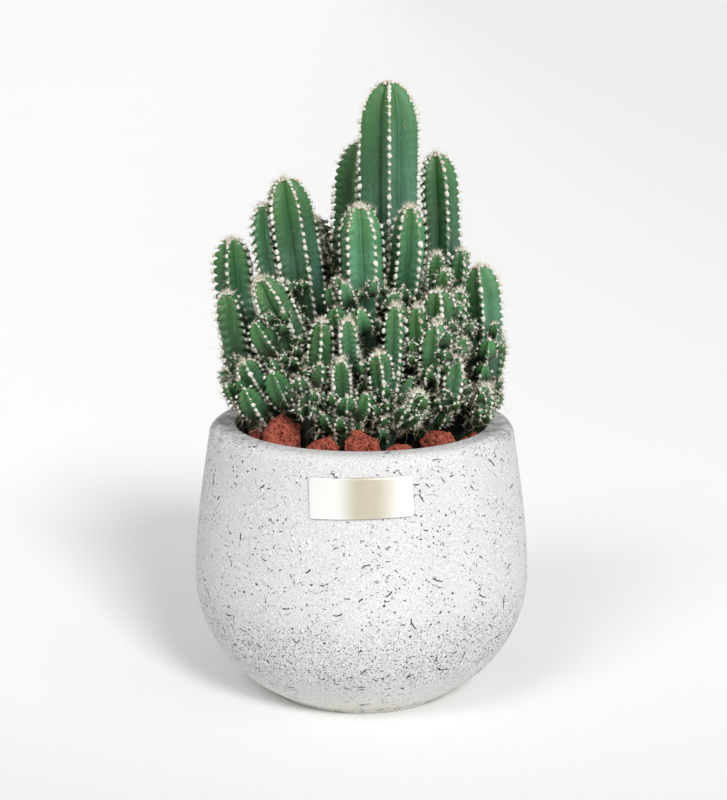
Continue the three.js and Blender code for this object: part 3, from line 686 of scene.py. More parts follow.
def weathering(material):
    """Roughens a broken lump: soft knocks, then round bubbles pressed into it."""
    sizes = {"knock_depth": 0.0021, "bubble_width": 0.0030, "bubble_depth": 0.0013, "fineness": 3}
    tree = Grower("stone_weathering", **sizes, material=material)
    place = tree.node("GeometryNodeInputPosition")
    sockets = {"Mesh": tree.given["Geometry"], "Level": tree.size("fineness")}
    fine = tree.node("GeometryNodeSubdivideMesh", {}, sockets)
    knocks = tree.noise(190.0, 4.0, place, 0.6) - 0.5
    bubbles = tree.cells(1 / tree.size("bubble_width"), place)
    pressed = tree.step(bubbles["Distance"], 0.15, 0.5, 1.0, 0.0)
    height = knocks * tree.size("knock_depth") * 2.0 - pressed * tree.size("bubble_depth")
    offset = tree.scaled(tree.node("GeometryNodeInputNormal"), height)
    tree.finish(tree.node("GeometryNodeSetPosition", {}, {"Geometry": fine, "Offset": offset}))
    return tree


def broken_lump(node):
    """A copy of a stone's solid with its loose triangles joined up."""
    lump = bpy.data.objects.new(node + "_lump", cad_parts[node].data.copy())
    shape = bmesh.new()
    shape.from_mesh(lump.data)
    bmesh.ops.remove_doubles(shape, verts=shape.verts, dist=1e-6)
    shape.to_mesh(lump.data)
    shape.free()
    bpy.context.scene.collection.objects.link(lump)
    return lump


stone_tree = weathering(scoria())
for number, node in enumerate(STONE_NODES):
    fineness = 3 if number in FRONT_STONES else 2
    stone = stone_tree.grow(node.replace("lava", "scoria"), broken_lump(node), fineness=fineness)
    on_root(stone, "lava", node)


# The cereus. Nineteen ribbed columns, each with its arms, and on the lower part of each a crowd of small
# knobbly shoots. A stem is a straight or gently bent body with a narrow foot, ribs with a notched edge and a
# domed tip. The shoots follow the same rule and the same draws as in the solids.
ROOT_DEPTH, OLD_WOOD = 22, 60
DOME_SLENDERNESS = 1.75
COLUMN_PITCH, ARM_PITCH, SHOOT_PITCH = 12, 11, 8
SEED, SHOOT_STEP, SHOOT_TRIES = 41, 6, 7
CROWD_RADIUS = 72
CLEAR_OF_SOIL, CLEAR_OF_RIM, CLEAR_OF_MOUTH, CLEAR_OF_STEMS = 1, 3, 3, 1.3
ROOTED_SHARE = 0.35

# Each column: root, elbow, tip, radius, ribs, turn of the first rib and height of its crowd, then its arms,
# each by the height it leaves from, its tip, radius, ribs and turn.
COLUMNS = [
    ("tall_centre_stem", (12, 6), (14, 8, 210), (13.5, 8, 308), 15, 5, -90, 198,
     [(184, (23.5, -20, 250), 8.2, 5, -54)]),
    ("centre_front_stem", (0, -16), (3, -24, 180), (-1, -24, 251), 10.5, 5, -54, 204,
     [(164, (-6.5, -46, 199), 4.6, 4, -45)]),
    ("left_tall_stem", (-17, -2), (-27, -4, 190), (-38, -6, 262), 11.5, 5, -62, 198,
     [(184, (-48.5, -2, 248.5), 6.6, 5, -60)]),
    ("back_left_stem", (-7, 28), (-3, 31.5, 190), (0, 32.5, 276), 12.8, 5, -25, 220,
     [(190, (-23, 37, 237), 8, 5, -70)]),
    ("back_right_stem", (28, 18), (46, 20, 190), (37.3, 20, 271.5), 9.4, 5, -70, 210,
     [(190, (50, 14, 224), 4.8, 4, -70)]),
    ("inner_left_stem", (-20, 15), (-22, 19, 180), (-24, 20, 226), 6.4, 4, 30, 200, []),
    ("middle_left_stem", (-28, 21), (-44, 21, 165), (-46, 18, 206), 6.6, 4, 60, 182, []),
    ("inner_right_stem", (29, -3), (37, -6, 180), (36.5, -12, 226), 5, 4, -45, 200, []),
    ("left_front_stem", (-19, -21), (-24, -32, 170), (-49, -32, 216.5), 8.4, 5, -62, 186,
     [(154, (-19, -42, 198), 5, 4, -90), (148, (-25, -53, 168), 4.4, 4, -60)]),
    ("right_front_stem", (24, -20), (40, -32, 170), (37, -30, 210.5), 7.2, 4, -82, 184,
     [(158, (35.6, -44, 197), 6.8, 4, -80), (166, (26.5, -38, 204), 5, 4, -70),
      (168, (48, -19, 208.5), 5, 4, -60), (146, (45, -44, 181), 5, 4, -50)]),
    ("far_left_stem", (-37, 7), (-64, 8, 168), (-64.6, 8, 230.5), 9.4, 5, -104, 184, []),
    ("far_left_front_stem", (-37, -9), (-58, -12, 150), (-66.6, -12, 206.5), 7.4, 4, -50, 166, []),
    ("far_right_stem", (38, -4), (70, -8, 160), (57.8, -8, 219.5), 8.2, 4, -98, 180,
     [(154, (69, -5, 183.5), 4.4, 4, -45), (142, (60, -27, 163), 4.6, 4, -40)]),
    ("low_left_stem", (-31, -18), (-44, -21, 150), (-57, -34, 176.5), 5, 4, -75, 150, []),
    ("low_front_stem", (-8, -36), (-8, -38, 150), (-10, -52, 181), 5, 4, -45, 152, []),
    ("low_centre_stem", (11, -34), (13, -38, 152), (8, -52, 184), 4.8, 4, -80, 152,
     [(150, (16, -42, 205.5), 5, 4, -60), (144, (27, -54, 166), 4.4, 4, -40)]),
    ("rear_stem", (12, 37), (16, 44, 170), (21, 49, 232), 9.4, 5, 80, 194,
     [(160, (5, 60, 196), 6.2, 4, 60)]),
    ("rear_left_stem", (-24, 32), (-44, 40, 160), (-47, 42, 213), 8.4, 5, 100, 182,
     [(154, (-30, 58, 186), 5.4, 4, 70)]),
    ("rear_right_stem", (27, 37), (43, 41, 150), (54, 43, 203), 7.6, 4, 40, 172,
     [(154, (68, 24, 184), 5.2, 4, 20)]),
]
# Each lava stone as the shoots keep clear of it: its centre, width and height.
STONES = [
    (-52, -22, 13, 13), (-38.7, -37.3, 22.9, 22), (-18, -51, 18, 16), (-0.5, -53, 20, 19),
    (18.5, -52, 19.5, 12.5), (37.5, -40, 19, 16), (51, -27.5, 11.5, 9), (56.5, -17, 9.5, 9),
    (57, 7, 11, 12), (53, 22, 12, 12), (25, 52, 14, 14), (3, 55, 15, 13), (-12, 54, 16, 15),
    (-49.5, 25.5, 14, 13),
]


def seeded(seed):
    """A repeatable stream of numbers from 0 to 1, the same as in the solids."""
    state, word = seed, 0xFFFFFFFF
    while True:
        state = (state + 0x6D2B79F5) & word
        mixed = ((state ^ (state >> 15)) * (1 | state)) & word
        mixed = ((mixed + ((mixed ^ (mixed >> 7)) * (61 | mixed))) & word) ^ mixed
        yield (mixed ^ (mixed >> 14)) / 2**32


def between(low, high, share):
    return low + (high - low) * share


def eased(value, low, high):
    share = np.clip((np.asarray(value, float) - low) / (high - low), 0, 1)
    return share * share * (3 - 2 * share)


class Stem:
    """One ribbed stem. `along` is a distance on the centre line, `reach` one on a rib's edge."""

    def __init__(self, root, elbow, tip, radius, ribs, turn, bare, neck, foot, pitch, old_wood=None):
        self.bend = np.array([root, elbow, tip], float)
        self.radius, self.ribs, self.turn = radius, ribs, math.radians(turn)
        self.bare, self.neck, self.foot, self.pitch, self.old_wood = bare, neck, foot, pitch, old_wood
        self.length = np.linalg.norm(np.diff(self.centre(np.linspace(0, 1, 201)), axis=0), axis=1).sum()
        self.places = np.linspace(0, self.length, 61)
        climbs = np.hypot(np.diff(self.places), np.diff(self.rib_radius(self.places)))
        self.edge = np.concatenate([[0], np.cumsum(climbs)])

    def centre(self, share):
        share = np.asarray(share, float)[..., None]
        root, elbow, tip = self.bend
        return (1 - share) ** 2 * root + 2 * (1 - share) * share * elbow + share**2 * tip

    def frame(self, along):
        """Centre, tangent and two side directions."""
        share = np.clip(np.asarray(along, float) / self.length, 0, 1)
        root, elbow, tip = self.bend
        tangent = (1 - share[..., None]) * (elbow - root) + share[..., None] * (tip - elbow)
        tangent /= np.linalg.norm(tangent, axis=-1, keepdims=True)
        side = np.array([1.0, 0, 0]) - tangent * tangent[..., :1]
        side /= np.linalg.norm(side, axis=-1, keepdims=True)
        return self.centre(share), tangent, side, np.cross(tangent, side)

    def rib_radius(self, along):
        grown = between(self.foot, 1, eased(along, *self.neck))
        dome = np.clip((self.length - along) / (self.radius * DOME_SLENDERNESS), 0, 1)
        return self.radius * grown * np.sqrt(1 - (1 - dome) ** 2)

    def valley_radius(self, along):
        young = eased(along, ROOT_DEPTH, self.old_wood) if self.old_wood else 1
        return self.rib_radius(along) * between(0.85, 0.5, young)

    def along(self, reach):
        return np.interp(reach, self.edge, self.places)

    def balls(self, first, margin=0.0):
        """Balls strung about a radius apart: x, y, z and radius."""
        count = math.ceil(self.length / self.radius)
        shares = np.array([n / count for n in range(count + 1) if n / count >= first])
        return np.column_stack([self.centre(shares), self.rib_radius(shares * self.length) + margin])


def column_stem(root, elbow, tip, radius, ribs, turn, crowd):
    bottom = SOIL_TOP - ROOT_DEPTH
    foot = (*root, bottom)
    neck = (0, radius * 2.2)
    return Stem(foot, elbow, tip, radius, ribs, turn, crowd - bottom, neck, 0.62, COLUMN_PITCH, OLD_WOOD)


def length_to(stem, height):
    return stem.length * (height - stem.bend[0][2]) / (stem.bend[2][2] - stem.bend[0][2])


def arm_stem(column, start, tip, radius, ribs, turn):
    root = column.frame(length_to(column, start))[0]
    elbow = (tip[0], tip[1], between(start, tip[2], 0.25))
    bare = column.radius + radius
    neck = (column.radius * 0.8, bare)
    return Stem(root, elbow, tip, radius, ribs, turn, bare, neck, 0.5, ARM_PITCH)


def side_shoot(parent, height, angle, radius, reach, rise, spin, ribs=4):
    """A shoot that leaves its parent's centre line at a height, and turns up beside it."""
    root, tangent = parent.frame(length_to(parent, height))[:2]
    out = np.array([math.cos(angle), math.sin(angle), 0])
    elbow = root + out * reach + tangent * rise * 0.15
    tip = root + out * reach * 1.1 + tangent * rise
    distance = math.hypot(root[0], root[1])
    light = out[:2] @ root[:2] / distance if distance else 0
    neck = (parent.radius * 0.8, reach)
    return Stem(root, elbow, tip, radius, ribs, spin, reach, neck, 0.45, SHOOT_PITCH), light


def has_room(balls, taken, squeeze=1.0):
    """True if balls stay over the soil, in the pot's mouth or over its rim, and out of those taken."""
    lowest = balls[:, 2] - balls[:, 3]
    spread = np.hypot(balls[:, 0], balls[:, 1]) + balls[:, 3]
    over_rim = (lowest > POT_HEIGHT + CLEAR_OF_RIM) & (spread < CROWD_RADIUS)
    in_mouth = (lowest > SOIL_TOP + CLEAR_OF_SOIL) & (spread < MOUTH_RADIUS - CLEAR_OF_MOUTH)
    if not np.all(over_rim | in_mouth):
        return False
    apart = np.linalg.norm(balls[:, None, :3] - taken[None, :, :3], axis=2)
    return not np.any(apart <= squeeze * (balls[:, None, 3] + taken[None, :, 3]))


def shoots_of(column, crowd, random, taken):
    """The shoots that the solids have too."""
    shoots = []
    for height in np.arange(SOIL_TOP + 4, crowd, SHOOT_STEP):
        for _ in range(SHOOT_TRIES):
            swing, size, slenderness, far, spin, jump = (next(random) for _ in range(6))
            radius = between(3.4, 5.4, size)
            reach = column.radius + radius * between(1, 1.9, far)
            rise = radius * between(2.6, 4.4, slenderness)
            start = height + (jump - 0.5) * SHOOT_STEP
            shoot, light = side_shoot(column, start, swing * 2 * math.pi, radius, reach, rise, spin * 90)
            balls = shoot.balls(ROOTED_SHARE)
            if light > 0 and has_room(balls, taken):
                shoots.append(shoot)
                taken = np.concatenate([taken, balls])
    return shoots


def stone_room():
    """A ball round each lava stone, which no shoot grows into."""
    return np.array([
        (x, y, SOIL_TOP + height * 0.4, width / 2 * 1.06 + CLEAR_OF_STEMS)
        for x, y, width, height in STONES
    ])


def grow_plants():
    plants = []
    for name, root, elbow, tip, radius, ribs, turn, crowd, arms in COLUMNS:
        column = column_stem(root, elbow, tip, radius, ribs, turn, crowd)
        stems = [column, *(arm_stem(column, *arm) for arm in arms)]
        plants.append({"name": name, "crowd": crowd, "stems": stems})
    for number, plant in enumerate(plants):
        column, *arms = plant["stems"]
        others = [stem for other in plants if other is not plant for stem in other["stems"]]
        taken = [stone_room(), *(arm.balls(ROOTED_SHARE) for arm in arms)]
        taken = np.concatenate(taken + [stem.balls(0, CLEAR_OF_STEMS) for stem in others])
        plant["stems"] += shoots_of(column, plant["crowd"], seeded(SEED + number), taken)
    return plants


plants = grow_plants()


# The young growth. Between the shoots come many smaller ones, which fill the crowd up on every side and
# press against each other a little. They also cover an old corky head behind the left columns up to its tip.
BUD_SEED, BUD_STEP, BUD_SQUEEZE = 5, 4, 0.84
BUD_TRIES, LOW_TRIES, BARE_SIDE_TRIES = 8, 10, 60
LOW_GROWTH, BARE_SIDE = POT_HEIGHT + 16, "far_right_stem"
BUD_RADIUS, BUD_REACH, BUD_SLENDERNESS = (2.3, 3.7), (0.3, 1.5), (1.4, 3.6)
STEM_ROOTED_SHARE, BUD_ROOTED_SHARE, CLEAR_OF_BUDS = 0.3, 0.4, 0.2
OLD_HEAD, OLD_HEAD_SIZE = np.array([-17.0, 31.0, 228.0]), 20
BELOW_OLD_TIP, ABOVE_CROWD, UP_AN_ARM = 12, 6, 3.5


def is_old(stem):
    return bool(np.linalg.norm(stem.bend[2] - OLD_HEAD) < OLD_HEAD_SIZE)


def add_buds():
    random = np.random.default_rng(BUD_SEED)
    taken = [stone_room()]
    for plant in plants:
        column, *others = plant["stems"]
        taken.append(column.balls(0, CLEAR_OF_BUDS))
        taken.extend(stem.balls(STEM_ROOTED_SHARE, CLEAR_OF_BUDS) for stem in others)
    owner = np.concatenate([np.full(len(balls), number) for number, balls in enumerate(taken)])
    taken = np.concatenate(taken)
    number = 1
    for plant in plants:
        first = number
        parents = [stem for stem in plant["stems"] if stem.pitch != SHOOT_PITCH]
        number += len(plant["stems"])
        plant["buds"] = []
        low_tries = BARE_SIDE_TRIES if plant["name"] == BARE_SIDE else LOW_TRIES
        for offset, parent in enumerate(parents):
            old = is_old(parent)
            if old:
                top = parent.bend[2][2] - BELOW_OLD_TIP
            elif parent.old_wood:
                top = plant["crowd"] + ABOVE_CROWD
            else:
                top = parent.bend[0][2] + parent.radius * UP_AN_ARM
            low = max(SOIL_TOP + 2, parent.bend[0][2] + parent.radius)
            for height in np.arange(low, top, BUD_STEP):
                for _ in range(low_tries if height < LOW_GROWTH else BUD_TRIES):
                    radius = between(*BUD_RADIUS, random.random())
                    reach = parent.radius + radius * between(*BUD_REACH, random.random())
                    rise = radius * between(*BUD_SLENDERNESS, random.random())
                    angle, spin = random.random() * 2 * math.pi, random.random() * 90
                    start = height + random.random() * BUD_STEP
                    bud, light = side_shoot(parent, start, angle, radius, reach, rise, spin)
                    balls = bud.balls(BUD_ROOTED_SHARE)
                    if (light > 0 or old) and has_room(balls, taken[owner != first + offset], BUD_SQUEEZE):
                        plant["buds"].append(bud)
                        taken = np.concatenate([taken, balls])
                        owner = np.concatenate([owner, np.full(len(balls), -1)])


add_buds()


# The skin. Waxy and green, smooth on the flanks of the ribs, with a notch between every two cushions on a
# rib's edge. Young tips are bright and old flanks are bluish. Flanks that face the key light are painted
# lighter, and painted shade darkens the crowd and the valleys, which are also a darker green of their own.
FLANK_SHARES = {
    "fine": (0.06, 0.22, 0.52, 0.86, 1.0),
    "middle": (0.08, 0.40, 0.84, 1.0),
    "coarse": (0.16, 0.58, 1.0),
    "bud": (0.38, 1.0),
}
NOTCH_ROWS = {"fine": 4, "middle": 4, "coarse": 3, "bud": 2}
GROWN_UP = 8
SHOOT_GAP, SHOOT_GAP_GAIN = 1.45, 0.29
GROWN_GAP, GROWN_GAP_GAIN = 2.0, 0.18
KNOB, KNOB_LOSS, KNOB_LIMITS, SMALL_RADIUS = 1.75, 0.09, (0.35, 1.15), 4.5
SHOOT_KNOBS, KNOBBLY_RIBS = (1.3, 1.8, 2.3), 1.9
FLANK_SWELL, RIDGE, RIDGE_GAIN = 0.055, 0.30, 0.022
KNOBBLY = ("far_left_stem", "far_left_front_stem", "back_left_stem")
# How dark the old head's cork is, and how dark the crowd is painted with shade.
OLD_WEAR, CROWD_PAINTED_SHADE = 0.78, 0.85
# Tone of these columns, partly their own bloom and partly painted light: the front column, which faces the
# key, is painted palest.
COLUMN_TONE_WITH_PAINTED_LIGHT = {
    "centre_front_stem": 1.2, "tall_centre_stem": 0.72, "far_right_stem": 0.85, "left_tall_stem": 0.42,
}


def cushion_reaches(stem):
    """Where the cushions sit along a rib's edge: as in the solids, with more in between."""
    end = stem.edge[-1] - stem.radius * 0.36
    count = max(2, round((end - stem.bare) / stem.pitch) + 1)
    gap = max(end - stem.bare, 2.4) / (count - 1)
    if stem.pitch == SHOOT_PITCH:
        wanted = SHOOT_GAP + SHOOT_GAP_GAIN * stem.radius
    else:
        wanted = GROWN_GAP + GROWN_GAP_GAIN * stem.radius
    gap /= max(1, round(gap / wanted))
    lowest = stem.bare - 16 if stem.old_wood else max(stem.neck[0] + 1.5, stem.bare - stem.radius)
    return np.arange(end, min(lowest, end - 1.5 * gap), -gap)[::-1], gap


def detail_of(stem, bud):
    if bud:
        return "bud"
    if stem.old_wood:
        return "fine" if stem.radius > GROWN_UP else "middle"
    return "middle" if stem.pitch == ARM_PITCH else "coarse"


def stagger_ribs():
    """Gives each stem its notches and wear, and shifts the cushions of a side stem's ribs by some rows."""
    random = np.random.default_rng(SEED)
    for plant in plants:
        for number, stem in enumerate(plant["stems"] + plant["buds"]):
            rows = NOTCH_ROWS[detail_of(stem, number >= len(plant["stems"]))]
            stem.stagger = random.integers(0, rows, stem.ribs) / rows * (0 if stem.old_wood else 1)
            stem.knobs = random.choice(SHOOT_KNOBS) if stem.pitch == SHOOT_PITCH else 1.0
            stem.worn = OLD_WEAR * is_old(stem)
        if plant["name"] in KNOBBLY:
            for stem in plant["stems"][:2]:
                stem.knobs = KNOBBLY_RIBS


def knob_height(stem):
    knob = float(np.clip(KNOB - KNOB_LOSS * stem.radius, *KNOB_LIMITS))
    return knob * min(1, stem.radius / SMALL_RADIUS) * stem.knobs


def crest(stem, reach, rib, reaches, gap):
    """Radius of a rib's edge, which swells at each cushion, with a notch between two."""
    phase = (reach - reaches[-1]) / gap - stem.stagger[rib]
    lobe = np.abs(np.cos(np.pi * phase)) ** 0.8
    room = eased(reach, reaches[0] - gap, reaches[0]) * eased(stem.edge[-1] - reach, 0, stem.radius * 0.3)
    return stem.rib_radius(stem.along(reach)) + room * knob_height(stem) * (lobe * 1.5 - 0.75)


stagger_ribs()


def stem_shade_and_wear(stem, along):
    """How dark a stem is painted: painted shade, 1 in the crowd and at a shoot's neck, and the old head's
    corky wear, whichever is more.
    """
    if stem.old_wood:
        painted_crowd_shade = 1 - eased(along, stem.bare - 24, stem.bare + 18)
    else:
        painted_crowd_shade = 1 - eased(along, stem.neck[1] - 0.6 * stem.radius, stem.neck[1] + 1.8 * stem.radius)
    return np.maximum(painted_crowd_shade * CROWD_PAINTED_SHADE, stem.worn)


def ribbed_skin(stem, detail, tint):
    """Points, faces and measures of one stem's closed skin."""
    reaches, gap = cushion_reaches(stem)
    step = gap / NOTCH_ROWS[detail]
    first = ROOT_DEPTH - 4 if stem.old_wood else stem.neck[0] * 0.85
    rows = np.arange(reaches[-1], first, -step)[::-1]
    above = np.arange(reaches[-1] + step, stem.edge[-1] - 0.2 * step, step)
    if stem.old_wood:
        rows = rows[(rows > stem.bare - 12) | (np.arange(len(rows)) % 5 == 0)]
    rows = np.concatenate([rows, above, [stem.edge[-1] - 0.1 * step]])
    along = stem.along(rows)
    centre, _, side, back = (part[:, None, :] for part in stem.frame(along))
    valley = stem.valley_radius(along)[:, None]
    shares = FLANK_SHARES[detail]
    half = math.pi / stem.ribs
    offsets = [(0.0, 1)] + [(share, 1) for share in shares] + [(share, -1) for share in shares[-2::-1]]
    ring = [(rib, share, way) for rib in range(stem.ribs) for share, way in offsets]
    share = np.array([item[1] for item in ring])[None, :]
    way = np.array([item[2] for item in ring])[None, :]
    rib = np.array([item[0] + (1 if item[2] < 0 else 0) for item in ring])[None, :]
    plain = stem.rib_radius(along)[:, None]
    knob = crest(stem, rows[:, None], rib % stem.ribs, reaches, gap) - plain
    edge = plain + knob * (1 - share) ** (0.7 if stem.pitch == SHOOT_PITCH else 2.6)
    angle = stem.turn + rib * 2 * half
    run = np.hypot(valley * math.cos(half) - edge, valley * math.sin(half)) + 1e-9
    swell = FLANK_SWELL * stem.radius * np.sin(np.pi * share) * np.minimum(edge / stem.radius, 1)
    out = edge * (1 - share) + valley * math.cos(half) * share + swell * valley * math.sin(half) / run
    width = RIDGE + RIDGE_GAIN * stem.radius
    ridge = width * np.minimum(share / 0.08, 1) * (1 - share) * np.minimum(edge / stem.radius, 1)
    across = way * (valley * math.sin(half) * share + ridge + swell * (edge - valley * math.cos(half)) / run)
    # Painted light: sunny is how far a flank faces the key light on the right. It is added to the stem's
    # tone, so flanks on that side are painted lighter and bluer.
    sunny = np.cos(angle + way * half)
    radial = np.cos(angle)[..., None] * side + np.sin(angle)[..., None] * back
    tangential = -np.sin(angle)[..., None] * side + np.cos(angle)[..., None] * back
    points = centre + radial * out[..., None] + tangential * across[..., None]
    count = points.shape[1]
    grid = np.arange(len(rows) * count).reshape(len(rows), count)
    after = np.roll(grid, -1, axis=1)
    quads = np.stack([grid[:-1], after[:-1], after[1:], grid[1:]], axis=2).reshape(-1, 4)
    low, high = len(rows) * count, len(rows) * count + 1
    root = stem.centre(np.array([along[0] / stem.length]))
    tip = stem.centre(np.array([1.0]))
    points = np.concatenate([points.reshape(-1, 3), root, tip])
    ends = [(low, b, a) for a, b in zip(grid[0], after[0])]
    ends += [(a, b, high) for a, b in zip(grid[-1], after[-1])]
    youth = np.exp(-(stem.length - along) / (3.0 * stem.radius + 6))[:, None]
    age = stem_shade_and_wear(stem, along)[:, None]
    grown = {
        "flank": (share, [0.5, 0.0]),
        "youth": (youth, [0.0, 1.0]),
        "tint": (tint + 0.5 * sunny, [tint, tint]),
        "age": (age, [1.0, stem.worn]),
    }
    measures = {
        name: np.concatenate([np.broadcast_to(values, (len(rows), count)).ravel(), last])
        for name, (values, last) in grown.items()
    }
    return points, quads.tolist() + ends, measures


def green_skin():
    finish = Finish("cereus_skin")
    flank = finish.measured("flank")
    youth = finish.measured("youth")
    tint = finish.measured("tint")
    mottle = finish.noise(95.0, 4.0, roughness=0.6)
    clouds = finish.noise(34.0, 2.0)
    fine = finish.noise(1700.0, 2.0)
    # The tone carries painted light: flanks that face the key light are painted lighter and bluer.
    colour = finish.mix(tint, linear(11, 35, 25), linear(46, 90, 77))
    bloom = finish.step(clouds + tint * 0.35 - youth * 0.45, 0.45, 0.85)
    colour = finish.mix(bloom * 0.7, colour, linear(84, 124, 116))
    # Painted light: the brightest tones, on the front column that faces the key, are painted a lighter
    # green.
    colour = finish.mix(finish.step(tint, 0.95, 1.35), colour, linear(84, 142, 112))
    colour = finish.mix(finish.step(mottle, 0.38, 0.64) * 0.5, colour, linear(31, 76, 40))
    drawn_out = finish.vector("MULTIPLY", finish.place, (1.0, 1.0, 0.16))
    streaks = finish.noise(520.0, 3.0, place=drawn_out, roughness=0.6)
    colour = finish.mix(finish.step(streaks, 0.48, 0.30, 0.0, 0.45), colour, linear(18, 50, 34))
    colour = finish.mix(finish.step(streaks, 0.54, 0.72, 0.0, 0.35), colour, linear(96, 144, 112))
    colour = finish.mix(youth * 0.56, colour, linear(80, 138, 62))
    # The valleys are darkened: partly the skin's own darker green, partly painted shade in the creases.
    valley = finish.step(flank, 0.45, 1.0) * (1.0 - youth * 0.6)
    colour = finish.mix(valley * 0.42, colour, linear(14, 44, 30))
    # A painted highlight: a pale line down the middle of the valleys on the lighter-toned flanks.
    pale = finish.step(flank, 0.97, 1.0) * finish.step(tint, 0.75, 0.95) * 0.5
    colour = finish.mix(pale, colour, linear(130, 170, 152))
    colour = finish.mix(finish.step(flank, 0.01, 0.06, 0.4, 0.0), colour, linear(150, 160, 124))
    # Painted shade darkens the crowd and the shoots' necks, and the old head is darkened by its corky wear.
    colour = finish.mix(finish.measured("age"), colour, linear(28, 30, 20))
    scars = finish.step(finish.noise(310.0, 3.0, roughness=0.7), 0.66, 0.70, 0.0, 0.75)
    colour = finish.mix(scars, colour, linear(128, 122, 92))
    pores = finish.step(finish.noise(2600.0, 1.0), 0.62, 0.75, 0.0, 0.3)
    colour = finish.mix(pores, colour, linear(120, 154, 120))
    rough = finish.step(mottle, 0.3, 0.7, 0.42, 0.58)
    relief = finish.bump(fine, 0.00012, 0.5)
    relief = finish.bump(mottle, 0.0009, 0.35, under=relief)
    return finish.surface(Base_Color=colour, Roughness=rough, Normal=relief, Specular_IOR_Level=0.42)


def dress_skins(material):
    random = np.random.default_rng(SEED)
    for plant in plants:
        points, faces, measures, start = [], [], {"flank": [], "youth": [], "tint": [], "age": []}, 0
        mood = COLUMN_TONE_WITH_PAINTED_LIGHT.get(plant["name"], 0.15 + 0.5 * random.random())
        for number, stem in enumerate(plant["stems"] + plant["buds"]):
            bud = number >= len(plant["stems"])
            tint = mood if number == 0 else np.clip(mood + random.normal() * 0.35, 0, 1)
            shell, sides, values = ribbed_skin(stem, detail_of(stem, bud), tint)
            points.append(shell)
            faces += [tuple(corner + start for corner in face) for face in sides]
            for measure in measures:
                measures[measure].append(values[measure])
            start += len(shell)
        joined = {measure: np.concatenate(values) for measure, values in measures.items()}
        name = plant["name"].replace("stem", "skin")
        skin = new_piece(name, np.concatenate(points), faces, material, joined)
        on_root(skin, "cactus_skin", plant["name"])


dress_skins(green_skin())


# The cushions. Each bump on a rib's edge carries a round pad of short cream wool. The pads are largest on
# the grown columns and closest together on the shoots, and a few at the very tips are still rosy tan.
TOP_OF_ALL = 309.1
SHOOT_CUSHIONS = {
    "width": 0.62, "gain": 0.035, "on_tip": 3, "missing": 0.12,
    "slip": 0.6, "unevenness": 0.28, "spine": 3.1, "needles": 4.0,
}
GROWN_CUSHIONS = {
    "width": 0.78, "gain": 0.034, "on_tip": 6, "missing": 0.02,
    "slip": 0.4, "unevenness": 0.2, "spine": 4.0, "needles": 6.0,
}
BUD_NEEDLES = 3.0
DEEP_SHARE, BALLS_AT_ONCE = 0.72, 500


def cushion_kind(stem):
    return SHOOT_CUSHIONS if stem.pitch == SHOOT_PITCH else GROWN_CUSHIONS


def cushion_places(stem):
    """Places, outward and upward directions, sizes, youth, and painted shade and wear of a stem's cushions.
    """
    reaches, gap = cushion_reaches(stem)
    kind = cushion_kind(stem)
    size = kind["width"] + kind["gain"] * stem.radius
    crown = np.array([])
    if kind is GROWN_CUSHIONS:
        crown = reaches[-1] - 0.5 * gap * np.arange(1, 1 + 2 * round(1.0 * stem.radius / gap), 2)
        crown = np.concatenate([crown, reaches[-1] + 0.17 * stem.radius * np.array([1, 2])])
    rows = []
    for rib in range(stem.ribs):
        angle = stem.turn + rib * 2 * math.pi / stem.ribs
        reach = np.concatenate([reaches + stem.stagger[rib] * gap, crown])
        shrink = np.concatenate([np.ones(len(reaches)), np.full(len(crown), 0.82)])
        along = stem.along(reach)
        centre, tangent, side, back = stem.frame(along)
        radial = np.cos(angle) * side + np.sin(angle) * back
        ahead = stem.rib_radius(np.minimum(along + 0.05 * stem.radius, stem.length))
        fall = stem.rib_radius(np.maximum(along - 0.05 * stem.radius, 0)) - ahead
        slope = np.arctan2(fall, 0.1 * stem.radius)[:, None]
        out = radial * np.cos(slope) + tangent * (np.sin(slope) + 0.25)
        up = tangent * np.cos(slope) - radial * np.sin(slope)
        place = centre + radial * crest(stem, reach, rib, reaches, gap)[:, None]
        youth = np.exp(-(stem.length - along) / (0.8 * stem.radius))
        rows.append((place, out, up, size * (1 - 0.2 * youth) * shrink, youth, stem_shade_and_wear(stem, along)))
    place, tangent, side, back = stem.frame(np.array([stem.length]))
    for spot in range(kind["on_tip"]):
        angle = spot * 2 * math.pi * 0.382 + stem.turn
        radial = (np.cos(angle) * side + np.sin(angle) * back) * (spot > 0)
        top = place + radial * 0.05 * spot * stem.radius - tangent * (0.05 * stem.radius + 0.3)
        last = [np.array([size * 0.8]), np.array([1.0]), np.array([stem.worn])]
        rows.append((top, tangent + radial * 0.5, side, *last))
    return [np.concatenate(part) for part in zip(*rows)]


def buried(places, owner, balls, owners):
    """True for places well inside a stem other than their own."""
    inside = np.zeros(len(places), bool)
    for first in range(0, len(balls), BALLS_AT_ONCE):
        part = balls[first:first + BALLS_AT_ONCE]
        apart = np.linalg.norm(places[:, None] - part[None, :, :3], axis=2)
        deep = apart < part[None, :, 3] * DEEP_SHARE
        foreign = owners[None, first:first + BALLS_AT_ONCE] != owner
        inside |= np.any(deep & foreign, axis=1)
    return inside


